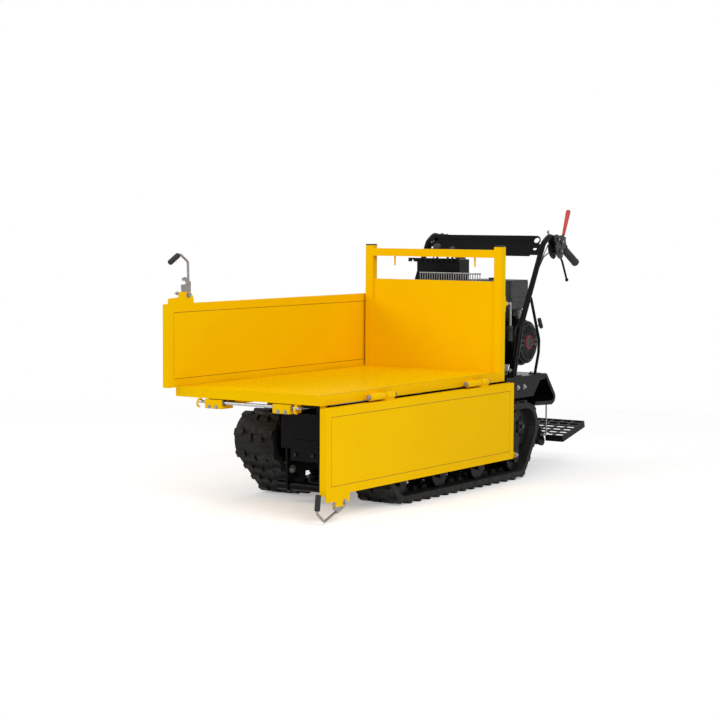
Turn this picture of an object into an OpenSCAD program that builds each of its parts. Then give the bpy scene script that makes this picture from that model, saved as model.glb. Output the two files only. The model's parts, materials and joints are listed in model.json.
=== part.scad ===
// Tracked power carrier with a drop-side tipping bed.
// Frame: x to the operator's left, y from the bed's front edge to the rear, z up from the ground.

/* [Bed] */
// Width of the load bed over its side lips
bed_w = 644; // [600:1:700]
// Length of the load bed floor, from its front edge to the headboard
bed_l = 1254; // [1150:1:1400]
// Height of the floor's top face above the ground
floor_z = 446; // [440:1:500]
// Depth of the folded lip round the bed
lip_h = 36; // [28:1:44]
// Thickness of the bed's sheet steel
sheet = 3; // [2:0.5:4]
// Side of the square headboard posts
post = 34; // [25:1:40]
// Height of the headboard posts above the floor
post_h = 499; // [420:1:600]
// Height of the headboard's sheet above the floor
board_h = 361; // [250:1:400]
// Height of the headboard's top rail section
rail_h = 31; // [20:1:45]
// Distance from the top of the posts down to the top rail
rail_drop = 12; // [5:1:40]

/* [Side panels] */
// Height of a side panel
panel_h = 304; // [220:1:360]
// Thickness of a side panel
panel_t = 27; // [20:1:32]
// How far a side panel runs past the front of the floor
panel_nose = 28; // [0:1:60]
// How far a side panel runs past the back of the posts
panel_tail = 11; // [0:1:30]
// Width of the frame tube round a side panel
panel_frame = 30; // [20:1:45]
// Wall of the side panel's sheet and frame
panel_wall = 2.5; // [1.5:0.5:4]
// Distance from the bed's lip to the hinge axis of a side panel
hinge_out = 24.5; // [24:0.5:34]
// Distance from the floor's top face down to the hinge axis
hinge_drop = 24; // [20:1:28]
// Diameter of the hinge barrels
barrel_d = 26; // [20:1:28]
// Diameter of the hinge pins
hinge_pin_d = 10; // [6:1:12]
// Angle of the left side panel at rest, hanging open
left_panel_open = 180; // [0:5:180]

/* [Latches] */
// Diameter of the panel latch lever's rod
lever_d = 9.5; // [7:0.5:12]
// Length of the latch lever's straight shank
shank_l = 113; // [80:1:140]
// Length of the latch lever's crank between its two bends
crank_l = 56; // [40:1:70]
// Length of the latch lever's grip
latch_grip_l = 63; // [40:1:80]
// Diameter of the latch lever's grip
latch_grip_d = 19; // [14:0.5:24]
// Turn of the left latch lever at rest
left_latch_turn = 68; // [0:1:92]
// Diameter of the latch rod under the front lip
front_rod_d = 12; // [8:1:14]
// Diameter of the headboard latch's rod
post_rod_d = 10; // [7:1:12]

/* [Tracks] */
// Width of a rubber track
track_w = 180; // [140:1:200]
// Distance between the two tracks
track_gap = 280; // [250:1:310]
// Thickness of the track's band
band_t = 22; // [18:1:26]
// Height of the tread lugs
lug_h = 10; // [6:1:14]
// Target pitch of the tread lugs
lug_pitch = 66; // [55:1:90]
// Distance of the idler axle behind the bed's front edge
idler_y = 449; // [430:1:500]
// Distance between the idler axle and the sprocket axle
wheelbase = 1032; // [950:1:1100]
// Height of the idler axle
idler_z = 221; // [205:1:235]
// Height of the sprocket axle
sprocket_z = 209; // [200:1:230]
// Radius of the drive sprocket and idler, to the inside of the band
wheel_r = 77; // [70:1:85]
// Radius of the road rollers
roller_r = 55; // [45:1:57]
// Distance from the idler axle back to the first road roller
first_roller = 105; // [90:1:150]
// Distance from the last road roller back to the sprocket axle
last_roller = 55; // [50:1:80]
// Diameter of the wheel and roller axles
axle_d = 30; // [20:1:36]

/* [Chassis] */
// Height of the chassis rails' top face
rail_top = 340; // [330:1:345]
// Height of a chassis rail's section
chassis_h = 50; // [40:1:60]
// Width of a chassis rail's section
chassis_w = 40; // [30:1:50]
// Distance of the bed's tipping pivot behind the bed's front edge
pivot_y = 352; // [340:1:400]
// Diameter of the tipping pivot's pin
pivot_d = 20; // [14:1:24]
// Height of the bed's subframe rails
sub_h = 50; // [35:1:60]

/* [Rear deck] */
// Gap between the bed and the engine deck
deck_gap = 56; // [50:1:100]
// Length of the engine deck
deck_l = 330; // [300:1:400]
// Width of the engine deck and rear guard
deck_w = 600; // [580:1:620]
// Height of the engine deck's top face
deck_z = 416; // [410:1:440]
// Sheet thickness of the deck, guard, tower and covers
plate = 3; // [2:0.5:4]
// How far the rear guard reaches behind the deck
guard_reach = 108; // [90:1:140]
// Height of the rear guard's bottom edge
guard_z = 280; // [270:1:300]

/* [Engine] */
// Distance of the crankshaft behind the deck's front edge
crank_back = 258; // [250:1:270]
// Height of the crankshaft above the deck
crank_up = 131; // [128:1:150]
// Outer face of the recoil starter, from the mid-plane
recoil_x = 262; // [255:1:264]
// Diameter of the recoil starter's cover
recoil_d = 176; // [150:1:184]
// Diameter of the fan housing
fan_d = 194; // [186:1:210]
// Diameter of the engine pulley
engine_pulley_d = 76; // [60:1:90]
// Diameter of the gearbox pulley
gearbox_pulley_d = 104; // [80:1:110]

/* [Handlebar] */
// Diameter of the handlebar tube
bar_d = 23; // [19:1:28]
// Distance of each handlebar tube from the mid-plane
bar_x = 280; // [276:1:286]
// Height of the handlebar's bend
bar_z = 981; // [920:1:1060]
// Diameter of the hand grips
grip_d = 33; // [28:1:38]
// Length of the hand grips
grip_l = 138; // [100:1:160]

/* [Platform] */
// Width of the step platform
step_w = 590; // [500:1:620]
// Depth of the step platform
step_l = 224; // [180:1:280]
// Height of the step platform's skirt
step_skirt = 28; // [20:1:34]
// Slope of the step platform at rest
step_slope = 13; // [0:1:20]
// Distance of the platform's hinge behind the rear guard
step_back = 49; // [45:1:70]
// Height of the platform's hinge
step_z = 111; // [100:1:130]
// Diameter of the platform's hinge barrel
step_barrel_d = 34; // [28:1:38]

/* [Fits] */
// Radial clearance of pins and shafts in their bores
fit = 0.1; // [0.05:0.01:0.1]
// Clearance between moving pieces and their seats
gap = 0.4; // [0.3:0.1:0.6]

/* [Hidden] */
$fn = 64;

yellow = [0.98, 0.75, 0.0];
coat = [0.1, 0.1, 0.11];
rubber = [0.07, 0.07, 0.07];
steel = [0.72, 0.73, 0.75];
alloy = [0.62, 0.63, 0.64];
red = [0.78, 0.25, 0.22];

// Bed
half = bed_w / 2;
under = floor_z - sheet;
lip_z = floor_z - lip_h;
// The headboard stands on a strip that is pressed lower than the floor
seat_z = floor_z - sheet / 2;
bed_back = bed_l + post;
post_top = floor_z + post_h;
sub_z = under - sub_h;
sub_x = 70;
sub_w = 40;
ear_t = 14;
ear_r = 20;
pivot_z = sub_z - ear_r - 6;
// Side panels, in the closed position on the left side
hinge_x = half + hinge_out;
hinge_z = floor_z - hinge_drop;
panel_x0 = hinge_x - panel_t / 2;
panel_y0 = -panel_nose;
panel_y1 = bed_back + panel_tail;
panel_rise = barrel_d / 2 + 5;
panel_z0 = hinge_z + panel_rise;
panel_z1 = panel_z0 + panel_h;
panel_l = panel_y1 - panel_y0;
hinge_inset = 264;
fixed_knuckle = 88;
panel_knuckle = 54;
knuckle_gap = 12;
hinge_ys = [hinge_inset, bed_l - hinge_inset - 40];
// Panel latch
latch_y = 88;
latch_up = 31;
latch_z = panel_z1 + latch_up;
latch_plate = 4;
latch_pin_d = 10;
hook_t = 5;
lever_x = panel_x0 + latch_plate + gap + hook_t + lever_d / 2 - 1;
shank_root = [17, 8];
shank_a = 92;
crank_a = 148.6;
grip_a0 = 209;
function lever_pts(t) =
    let (p = along([latch_y, latch_z], atan2(shank_root[1], shank_root[0]) + t, norm(shank_root)),
         q = along(p, shank_a + t, shank_l), r = along(q, crank_a + t, crank_l))
    [p, q, r, along(r, grip_a0 + t, latch_grip_l)];
function lever_front(t) = min([for (p = lever_pts(t)) p[0]]);
function along(p, a, l) = [p[0] + l * cos(a), p[1] + l * sin(a)];
// Tracks
track_x0 = track_gap / 2;
track_x1 = track_x0 + track_w;
track_mid = (track_x0 + track_x1) / 2;
tread = band_t + lug_h;
sprocket_y = idler_y + wheelbase;
roller_z = tread + roller_r;
roller_y0 = idler_y + first_roller;
roller_y1 = sprocket_y - last_roller;
roller_n = 4;
roller_step = (roller_y1 - roller_y0) / (roller_n - 1);
wheel_w = 120;
gearbox_x = 100;
// Side beams of the track frame run on both sides of the wheels and carry their axles
beam_t = 10;
beam_gap = 4;
beam_in = track_mid - wheel_w / 2 - beam_gap - beam_t;
beam_out = track_mid + wheel_w / 2 + beam_gap;
// Chassis
chassis_x = sub_x;
rail_z = rail_top - chassis_h;
cross_s = 50;
cross_z = 125;
cross_ys = [idler_y + 200, sprocket_y - 230];
// Deck and guard
deck_y0 = bed_back + deck_gap;
deck_y1 = deck_y0 + deck_l;
deck_x = deck_w / 2;
guard_y = deck_y1 + guard_reach;
guard_rim = 16;
// The guard's bottom sheet rises forwards from its rear corner
guard_corner = guard_y - 46;
guard_front = sprocket_y + wheel_r + tread + 2;
guard_run = guard_corner - guard_front;
guard_lift = rail_z - gap - plate - guard_z;
function guard_under(y) = guard_z + guard_lift * (guard_corner - y) / guard_run;
rear_y = deck_y1 - 20;
// Engine
crank_y = deck_y0 + crank_back;
crank_z = deck_z + crank_up;
block_x0 = -30;
block_x1 = 128;
pulley_x0 = -64;
pulley_w = 24;
groove = 6;
belt_t = 8;
belt_w = 12;
drive_y = sprocket_y + 20;
drive_z = rail_top + 12;
shaft_d = 22;
recoil_depth = 34;
recoil_x0 = recoil_x - recoil_depth;
rope_a = 28;
rope_l = 66;
// Handlebar, as points of the tube's centre line in y and z
bar_foot = [deck_y0 + 97, deck_z + 10];
bar_knee = [deck_y0 + 148, deck_z + 196];
bar_neck = [deck_y0 + 338, bar_z - 25];
bar_top = [deck_y0 + 394, bar_z + 7];
bar_fall = [deck_y0 + 506, bar_z - 43];
bar_slope = 28.4;
grip_a = along(bar_fall, -bar_slope, 4);
grip_b = along(grip_a, -bar_slope, grip_l);
tower_y0 = deck_y0 + 208;
tower_d = 80;
tower_x0 = -256;
tower_x1 = -76;
tower_x2 = -46;
tower_z = deck_z + 469;
gate_t = 4;
// Platform
step_y = guard_y + step_back;
// The whole part is moved so that the middle of its length is over the origin
part_front = lever_front(left_latch_turn) - latch_grip_d / 2;
part_rear = step_y + step_l;
mid_y = (part_front + part_rear) / 2;

// Placing and drawing helpers
module centred() {
    translate([0, -mid_y, 0]) children();
}

module box(x0, x1, y0, y1, z0, z1) {
    translate([x0, y0, z0]) cube([x1 - x0, y1 - y0, z1 - z0]);
}

// A flat outline in y and z, extruded along x
module slab_x(x0, x1) {
    translate([x0, 0, 0]) rotate([90, 0, 90]) linear_extrude(x1 - x0) children();
}

// A flat outline in x and z, extruded along y
module slab_y(y0, y1) {
    translate([0, y1, 0]) rotate([90, 0, 0]) linear_extrude(y1 - y0) children();
}

module rod_x(d, x0, x1, y, z) {
    translate([x0, y, z]) rotate([0, 90, 0]) cylinder(d = d, h = x1 - x0);
}

module rod_y(d, y0, y1, x, z) {
    translate([x, y1, z]) rotate([90, 0, 0]) cylinder(d = d, h = y1 - y0);
}

module rod_z(d, z0, z1, x, y) {
    translate([x, y, z0]) cylinder(d = d, h = z1 - z0);
}

// side 1 is the operator's left, at +x; side -1 is the mirror image
module on_side(side) {
    if (side > 0) children();
    else mirror([1, 0, 0]) children();
}

module both_sides() {
    on_side(1) children();
    on_side(-1) children();
}

// Rounded rectangle from two corners, with true arcs
module soft_rect(u0, u1, v0, v1, r) {
    translate([u0 + r, v0]) square([u1 - u0 - 2 * r, v1 - v0]);
    translate([u0, v0 + r]) square([u1 - u0, v1 - v0 - 2 * r]);
    for (u = [u0 + r, u1 - r], v = [v0 + r, v1 - r]) translate([u, v]) circle(r);
}

// Sheet bent along a path in y and z, between two offsets from the path
function left_of(t) = [-t[1], t[0]];
module ribbon(path, a, b) {
    n = len(path) - 1;
    polygon(concat(
        [for (i = [0 : n]) path[i] + a * left_of(heading(path, i))],
        [for (i = [n : -1 : 0]) path[i] + b * left_of(heading(path, i))]));
}

// Swept round rod: rings of points along a path, square to it, closed by fans at both ends
function unit(v) = v / norm(v);
function heading(path, i) =
    i == 0 ? unit(path[1] - path[0])
    : i == len(path) - 1 ? unit(path[i] - path[i - 1])
    : unit(unit(path[i] - path[i - 1]) + unit(path[i + 1] - path[i]));
function ring(p, t, d, n) =
    let (b = unit([1, 0, 0] - t[0] * t), c = cross(t, b))
    [for (k = [0 : n - 1]) p + d / 2 * (cos(360 * k / n) * b + sin(360 * k / n) * c)];

module sweep(path, d, n = 12) {
    rings = len(path);
    points = [for (i = [0 : rings - 1]) each ring(path[i], heading(path, i), d, n)];
    sides = [for (i = [0 : rings - 2], k = [0 : n - 1])
        let (a = i * n + k, b = i * n + (k + 1) % n)
        each [[a, b, b + n], [a, b + n, a + n]]];
    front = [for (k = [1 : n - 2]) [0, k + 1, k]];
    back = [for (k = [1 : n - 2]) (rings - 1) * n * [1, 1, 1] + [0, k, k + 1]];
    polyhedron(points, [for (f = concat(sides, front, back)) [f[0], f[2], f[1]]], convexity = 6);
}

// Path with each inner corner rounded to a bend of radius r
function bend(a, p, b, r, n) =
    let (u = unit(a - p), v = unit(b - p), half_angle = acos(u * v) / 2,
         reach = r / tan(half_angle), mid = unit(u + v),
         o = p + mid * r / sin(half_angle), s = unit(p + u * reach - o), e = unit(p + v * reach - o),
         span = acos(s * e))
    [for (k = [0 : n]) o + r * (s * sin(span * (1 - k / n)) + e * sin(span * k / n)) / sin(span)];
function rounded(pts, r, n = 5) = concat(
    [pts[0]],
    [for (i = [1 : len(pts) - 2]) each bend(pts[i - 1], pts[i], pts[i + 1], r, n)],
    [pts[len(pts) - 1]]);
function at_x(x, pts) = [for (p = pts) [x, p[0], p[1]]];

// Track loop: four circles, left to right along the bottom and back along the top
function loop_circles(r) = [
    [roller_y0, roller_z, roller_r + r],
    [roller_y1, roller_z, roller_r + r],
    [sprocket_y, sprocket_z, wheel_r + r],
    [idler_y, idler_z, wheel_r + r]];
function tangent_angle(a, b) =
    let (d = [b[0] - a[0], b[1] - a[1]])
    atan2(d[1], d[0]) - acos((a[2] - b[2]) / norm(d));
function on_circle(c, a, extra = 0) = [c[0] + (c[2] + extra) * cos(a), c[1] + (c[2] + extra) * sin(a)];
function turn(a0, a1) = let (d = a1 - a0) d - 360 * floor(d / 360);
// One stretch per circle: start angle, swept angle, arc length, length of the straight after it
function stretch(c, i) =
    let (n = len(c), a0 = tangent_angle(c[(i + n - 1) % n], c[i]), a1 = tangent_angle(c[i], c[(i + 1) % n]),
         w = turn(a0, a1), q = c[(i + 1) % n])
    [a0, w, c[i][2] * w * PI / 180, norm(on_circle(q, a1) - on_circle(c[i], a1))];
function stretches(c) = [for (i = [0 : len(c) - 1]) stretch(c, i)];
function loop_length(c) = let (s = stretches(c)) sum([for (e = s) e[2] + e[3]]);
function sum(v, i = 0) = i == len(v) - 1 ? v[i] : v[i] + sum(v, i + 1);
// Point and outward angle at a distance along the loop
function walk(c, s, d, i = 0) =
    let (e = s[i])
    d <= e[2] ? let (a = e[0] + d / c[i][2] * 180 / PI) [on_circle(c[i], a), a]
    : d <= e[2] + e[3] || i == len(c) - 1
        ? let (a = e[0] + e[1], t = d - e[2]) [on_circle(c[i], a) + t * [-sin(a), cos(a)], a]
    : walk(c, s, d - e[2] - e[3], i + 1);
function lifted(w, h) = w[0] + h * [cos(w[1]), sin(w[1])];
// Closed outline at a height over the loop, with blocks at a pitch that raise it further
function blocked_loop(c, base, rise, count, fill, phase) =
    let (s = stretches(c), step = loop_length(c) / count, slope = 0.07)
    [for (k = [0 : count - 1]) each [
        for (q = [[0, base], [slope, base + rise], [fill / 2, base + rise],
                  [fill - slope, base + rise], [fill, base], [(1 + fill) / 2, base]])
            lifted(walk(c, s, ((k + phase + q[0]) * step) % loop_length(c)), q[1])]];

// Area inside a belt that runs round a list of circles
module loop_area(c) {
    s = stretches(c);
    polygon([for (i = [0 : len(c) - 1]) each [
        on_circle(c[i], s[i][0]), on_circle(c[i], s[i][0] + s[i][1])]]);
    for (q = c) translate([q[0], q[1]]) circle(q[2]);
}

// Tracks and running gear, drawn on the left side
lug_n = round(loop_length(loop_circles(0)) / lug_pitch);
lug_fill = 0.42;
lug_step = 0.2;
lug_root = 2;
lug_inset = 2;
lug_split = 7;
lug_groove = 4;
guide_h = 16;
guide_w = 14;
guide_root = 2;
guide_off = 20;
rim_in = guide_off + guide_w + 4;
hub_room = 6;

module rubber_track(side) {
    inner = loop_circles(0);
    color(rubber) on_side(side) {
        slab_x(track_x0, track_x1) difference() {
            loop_area(loop_circles(band_t));
            loop_area(inner);
        }
        for (half = [0, 1], row = [0, 1]) {
            a = row == 0 ? lug_split : track_w / 4 + lug_groove / 2;
            b = row == 0 ? track_w / 4 - lug_groove / 2 : track_w / 2 - lug_inset;
            x0 = half == 0 ? track_mid - b : track_mid + a;
            phase = row == 0 ? lug_step : 0;
            slab_x(x0, x0 + b - a) difference() {
                polygon(blocked_loop(inner, band_t - lug_root, lug_h + lug_root, lug_n, lug_fill, phase));
                loop_area(loop_circles(band_t / 2));
            }
        }
        for (x = [track_mid - guide_off - guide_w, track_mid + guide_off])
            slab_x(x, x + guide_w) difference() {
                loop_area(loop_circles(band_t / 2));
                polygon(blocked_loop(inner, -guide_h, guide_h + guide_root, lug_n, 1 - lug_fill, 0.25));
            }
    }
}

// Two rims that run on the band outside the guide lugs, and a hub that clears the lugs
module wheel_body(r, y, z) {
    for (x = [track_mid + rim_in, track_mid - wheel_w / 2])
        rod_x(2 * (r - gap), x, x + wheel_w / 2 - rim_in, y, z);
    rod_x(2 * (r - guide_h - hub_room), track_mid - wheel_w / 2, track_mid + wheel_w / 2, y, z);
}

module lightening_holes(n, d, r, y, z) {
    for (k = [0 : n - 1])
        translate([0, y, z]) rotate([360 * k / n, 0, 0])
            rod_x(d, track_mid + wheel_w / 2 - 16, track_mid + wheel_w / 2 + 1, 0, r);
}

module drive_sprocket(side) {
    teeth = 12;
    tooth_t = 14;
    root_r = wheel_r - guide_h - hub_room - 10;
    color(coat) on_side(side) difference() {
        union() {
            wheel_body(wheel_r, sprocket_y, sprocket_z);
            for (k = [0 : teeth - 1])
                translate([track_mid, sprocket_y, sprocket_z]) rotate([360 * k / teeth, 0, 0])
                    box(-guide_off + 4, guide_off - 4, -tooth_t / 2, tooth_t / 2, root_r, wheel_r - 1.5);
            rod_x(axle_d, gearbox_x - 38, track_mid, sprocket_y, sprocket_z);
        }
        lightening_holes(6, 16, 36, sprocket_y, sprocket_z);
    }
}

module idler_wheel(side) {
    color(coat) on_side(side) difference() {
        wheel_body(wheel_r, idler_y, idler_z);
        rod_x(axle_d + 2 * fit, track_mid - wheel_w, track_mid + wheel_w, idler_y, idler_z);
        lightening_holes(6, 18, 37, idler_y, idler_z);
    }
}

module road_roller(side, i) {
    y = roller_y0 + i * roller_step;
    color(coat) on_side(side) difference() {
        wheel_body(roller_r, y, roller_z);
        rod_x(axle_d + 2 * fit, track_mid - wheel_w, track_mid + wheel_w, y, roller_z);
    }
}

module track_frame(side) {
    beam_z1 = cross_z + cross_s;
    lug_r = axle_d / 2 + 6;
    color(coat) on_side(side) {
        for (x = [beam_in, beam_out]) {
            slab_x(x, x + beam_t) polygon([
                [roller_y0 - 40, roller_z], [roller_y1 + lug_r, roller_z], [roller_y1 + lug_r, beam_z1],
                [roller_y0 + 40, beam_z1], [idler_y + 24, idler_z + 24], [idler_y - 24, idler_z + 24],
                [idler_y - 24, idler_z - 24]]);
            for (i = [0 : roller_n - 1])
                rod_x(2 * lug_r, x, x + beam_t, roller_y0 + i * roller_step, roller_z);
        }
        for (i = [0 : roller_n - 1])
            rod_x(axle_d, beam_in, beam_out + beam_t, roller_y0 + i * roller_step, roller_z);
        rod_x(axle_d, beam_in, beam_out + beam_t, idler_y, idler_z);
    }
}

// Chassis
tube_wall = 4;
rail_y0 = pivot_y - 9;
arm_x = 196;
arm_t = 12;
step_pin_d = 20;
leg_t = 8;
bumper_d = 34;
bumper_z = 62;
bumper_y = rail_y0 + 25;
leg_r = bumper_d / 2 + 5;
// The apron in front of the cover reaches further to the left side
apron_x0 = -50;
apron_x1 = 76;
apron_bolt = 24;

module box_tube_y(x0, x1, y0, y1, z0, z1, wall) {
    difference() {
        box(x0, x1, y0, y1, z0, z1);
        box(x0 + wall, x1 - wall, y0 - 1, y1 + 1, z0 + wall, z1 - wall);
    }
}

module pivot_ear() {
    slab_x(chassis_x, chassis_x + ear_t - gap) {
        translate([pivot_y, pivot_z]) circle(ear_r);
        translate([pivot_y - ear_r, rail_top]) square([2 * ear_r, pivot_z - rail_top]);
    }
}

module chassis_frame() {
    color(coat) {
        both_sides() {
            box_tube_y(chassis_x, chassis_x + chassis_w, rail_y0, rear_y, rail_z, rail_top, tube_wall);
            pivot_ear();
            for (y = [deck_y0 + 10, rear_y - 40])
                box(chassis_x, chassis_x + chassis_w, y, y + 40, rail_top, deck_z - plate);
            rod_z(36, rail_top, sub_z - gap, chassis_x + chassis_w / 2, bed_l - 120);
        }
        rod_x(pivot_d, -sub_x - sub_w - 4, sub_x + sub_w + 4, pivot_y, pivot_z);
    }
}

// Legs under the rails, with the cross tubes that carry the track frames
module chassis_legs() {
    color(coat) {
        both_sides() {
            for (y = cross_ys) {
                box(chassis_x, chassis_x + chassis_w, y, y + cross_s, cross_z + cross_s, rail_z);
                box(0, beam_in, y, y + cross_s, cross_z, cross_z + cross_s);
            }
            slab_x(chassis_x, chassis_x + leg_t) {
                polygon([
                    [rail_y0, rail_z], [bumper_y - leg_r, bumper_z], [bumper_y + leg_r, bumper_z],
                    [bumper_y + leg_r + 20, rail_z]]);
                translate([bumper_y, bumper_z]) circle(leg_r);
            }
        }
        rod_x(bumper_d, -track_x0 + 14, track_x0 - 14, bumper_y, bumper_z);
    }
}

module front_cover() {
    cover_x = 96;
    z0 = 205;
    z1 = rail_top - 4;
    apron_z0 = 160;
    apron_z1 = 241;
    color(coat) {
        box(-cover_x, cover_x, rail_y0 - plate, rail_y0, z0, z1);
        for (s = [-1, 1])
            translate([s * (cover_x - plate / 2), 0, 0])
                box(-plate / 2, plate / 2, rail_y0 - plate, rail_y0 + 70, z0, rail_z - gap);
        box(apron_x0, apron_x1, rail_y0 - 2 * plate, rail_y0 - plate, apron_z0, apron_z1);
    }
}

// Power train
module gearbox() {
    boss_h = 30;
    color([0.2, 0.2, 0.21]) difference() {
        union() {
            slab_x(-gearbox_x + 10, gearbox_x - 10)
                soft_rect(sprocket_y - 90, sprocket_y + 90, sprocket_z - 70, rail_z, 24);
            rod_x(80, -gearbox_x, gearbox_x, sprocket_y, sprocket_z);
            box(pulley_x0 + pulley_w + 6, 20, drive_y - 34, drive_y + 34, rail_z - 30, drive_z + boss_h);
        }
        for (s = [-1, 1])
            rod_x(axle_d + 2 * fit, s > 0 ? gearbox_x - 40 : -gearbox_x - 1,
                  s > 0 ? gearbox_x + 1 : -gearbox_x + 40, sprocket_y, sprocket_z);
        rod_x(shaft_d + 2 * fit, pulley_x0, 0, drive_y, drive_z);
    }
}

// Grooved pulley with its shaft, which runs from the pulley towards +x
module pulley(d, y, z, shaft_end) {
    color(steel) {
        difference() {
            rod_x(d, pulley_x0, pulley_x0 + pulley_w, y, z);
            difference() {
                rod_x(d + 2, pulley_x0 + 5, pulley_x0 + pulley_w - 5, y, z);
                rod_x(d - 2 * groove, pulley_x0, pulley_x0 + pulley_w, y, z);
            }
        }
        rod_x(shaft_d, pulley_x0 - 4, shaft_end, y, z);
    }
}

module engine_pulley() {
    pulley(engine_pulley_d, crank_y, crank_z, block_x0 + 20);
}

module gearbox_pulley() {
    pulley(gearbox_pulley_d, drive_y, drive_z, -2);
}

module drive_belt() {
    function ends(extra) = [
        [drive_y, drive_z, gearbox_pulley_d / 2 - groove + extra],
        [crank_y, crank_z, engine_pulley_d / 2 - groove + extra]];
    x0 = pulley_x0 + (pulley_w - belt_w) / 2;
    color(rubber) slab_x(x0, x0 + belt_w) difference() {
        loop_area(ends(gap + belt_t));
        loop_area(ends(gap));
    }
}

module engine_deck() {
    skirt = 25;
    side_z = sprocket_z + wheel_r + tread + 10;
    slot_y0 = min(drive_y - gearbox_pulley_d / 2, crank_y - engine_pulley_d / 2) - 10;
    slot_y1 = max(drive_y + gearbox_pulley_d / 2, crank_y + engine_pulley_d / 2) + 10;
    color(coat) {
        difference() {
            box(-deck_x, deck_x, deck_y0, deck_y1, deck_z - plate, deck_z);
            box(pulley_x0 - 2, pulley_x0 + pulley_w + 4, slot_y0, slot_y1, deck_z - plate - 1, deck_z + 1);
        }
        box(-deck_x, deck_x, deck_y0, deck_y0 + plate, deck_z - skirt, deck_z - plate);
        both_sides() {
            box(deck_x - plate, deck_x, deck_y0 + plate, deck_y1, deck_z - skirt, deck_z - plate);
            slab_x(deck_x - plate, deck_x) polygon([
                [deck_y0 + 40, deck_z - skirt], [deck_y1 - 40, deck_z - skirt],
                [deck_y1 - 100, side_z], [deck_y0 + 60, side_z]]);
        }
    }
}

hook_x = deck_x - 60;
hook_y = guard_y + 13;
hook_z = guard_z + 34;
hook_d = 7;
module rear_guard() {
    path = rounded([
        [deck_y1, deck_z], [deck_y1 + 14, deck_z], [guard_y + 4, guard_z + 20],
        [guard_corner, guard_z], [guard_corner - guard_run, guard_z + guard_lift]], 26);
    color(coat) {
        slab_x(-deck_x, deck_x) ribbon(path, -plate, 0);
        both_sides() {
            slab_x(deck_x - plate, deck_x) ribbon(path, -guard_rim, 0);
            rear_arm();
        }
        // Lug that the platform hook hangs from
        difference() {
            box(hook_x - 10, hook_x + 10, guard_y - 14, hook_y, hook_z - 9, hook_z + 9);
            rod_y(hook_d + 2 * fit, guard_y - 8, hook_y + 1, hook_x, hook_z);
        }
    }
}

// Rear arm welded under the guard, with the bore for the platform's hinge pin
module rear_arm() {
    rear_top = guard_corner - 14;
    front_top = (guard_front + guard_corner) / 2;
    slab_x(arm_x, arm_x + arm_t) difference() {
        union() {
            translate([step_y, step_z]) circle(step_pin_d / 2 + 10);
            polygon([
                [step_y - 16, step_z - 12], [step_y + 16, step_z + 12],
                [rear_top, guard_under(rear_top) + 1], [front_top, guard_under(front_top) + 1]]);
        }
        translate([step_y, step_z]) circle(step_pin_d / 2 + fit);
    }
}

module platform_hook() {
    foot_z = step_z + 30;
    y = hook_y + 6;
    color(steel) {
        rod_y(hook_d, hook_y - 12, y, hook_x, hook_z);
        translate([hook_x, y, hook_z]) sphere(d = hook_d);
        rod_z(hook_d, foot_z, hook_z, hook_x, y);
        translate([hook_x, y, foot_z]) sphere(d = hook_d);
        rod_x(hook_d, hook_x - 26, hook_x, y, foot_z);
    }
}

// Engine
tank_z = crank_z + 136;
tank_y0 = crank_y - 78;
tank_y1 = crank_y + 126;
tank_x0 = -8;
tank_x1 = 200;
tank_seam = 31;
tank_h = 120;

module engine_block() {
    color(alloy) difference() {
        union() {
            slab_x(block_x0, block_x1)
                soft_rect(crank_y - 78, crank_y + 78, deck_z + 14, crank_z + 60, 26);
            both_sides_y(crank_y, 62) box(block_x0 + 8, block_x1 - 8, -18, 18, deck_z, deck_z + 20);
            // Cylinder and head with cooling fins, ahead of the crankcase
            box(10, 104, crank_y - 128, crank_y - 70, crank_z - 20, crank_z + 92);
            for (k = [0 : 4])
                box(0, 114, crank_y - 122 + 12 * k, crank_y - 118 + 12 * k, crank_z - 28, crank_z + 100);
            // Tank brackets and carburettor
            for (x = [20, 96])
                box(x, x + 16, crank_y - 30, crank_y + 40, crank_z + 58, tank_z);
            box(44, 84, crank_y + 70, crank_y + 104, crank_z + 30, crank_z + 80);
        }
        rod_x(shaft_d + 2 * fit, block_x0 - 1, block_x0 + 24, crank_y, crank_z);
    }
}

module both_sides_y(y, off) {
    for (s = [-1, 1]) translate([0, y + s * off, 0]) children();
}

module fan_housing() {
    wall = 4;
    shroud = 70;
    color(coat) difference() {
        union() {
            rod_x(fan_d, block_x1, recoil_x0, crank_y, crank_z);
            box(block_x1, recoil_x0 - 40, crank_y - shroud, crank_y + shroud, crank_z + 60, tank_z - gap);
        }
        rod_x(fan_d - 2 * wall, block_x1 - 1, recoil_x0 - wall, crank_y, crank_z);
    }
}

module recoil_cover() {
    slots = 16;
    face_d = recoil_d - 24;
    emblem_d = 54;
    color(coat) {
        difference() {
            union() {
                rod_x(recoil_d, recoil_x0, recoil_x - 10, crank_y, crank_z);
                rod_x(face_d, recoil_x - 10, recoil_x - 2, crank_y, crank_z);
            }
            for (k = [0 : slots - 1])
                translate([0, crank_y, crank_z]) rotate([360 * k / slots, 0, 0])
                    box(recoil_x - 8, recoil_x, -3, 3, emblem_d / 2 + 8, face_d / 2 - 6);
        }
        rod_x(emblem_d, recoil_x - 2, recoil_x, crank_y, crank_z);
    }
}

// Starter grip on a short stretch of rope, square to the cover's edge
rope_d = 4;
rope_x = recoil_x0 + 12;
module starter_grip() {
    grip_w = 50;
    color(coat) translate([rope_x, crank_y, crank_z]) rotate([rope_a, 0, 0])
        translate([0, recoil_d / 2 + gap, 0]) {
            rod_y(rope_d, 0, rope_l, 0, 0);
            rod_z(17, -grip_w / 2 + 8, grip_w / 2 - 8, 0, rope_l);
            for (z = [-1, 1]) translate([0, rope_l, z * (grip_w / 2 - 8)]) sphere(d = 17);
        }
}

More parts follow.
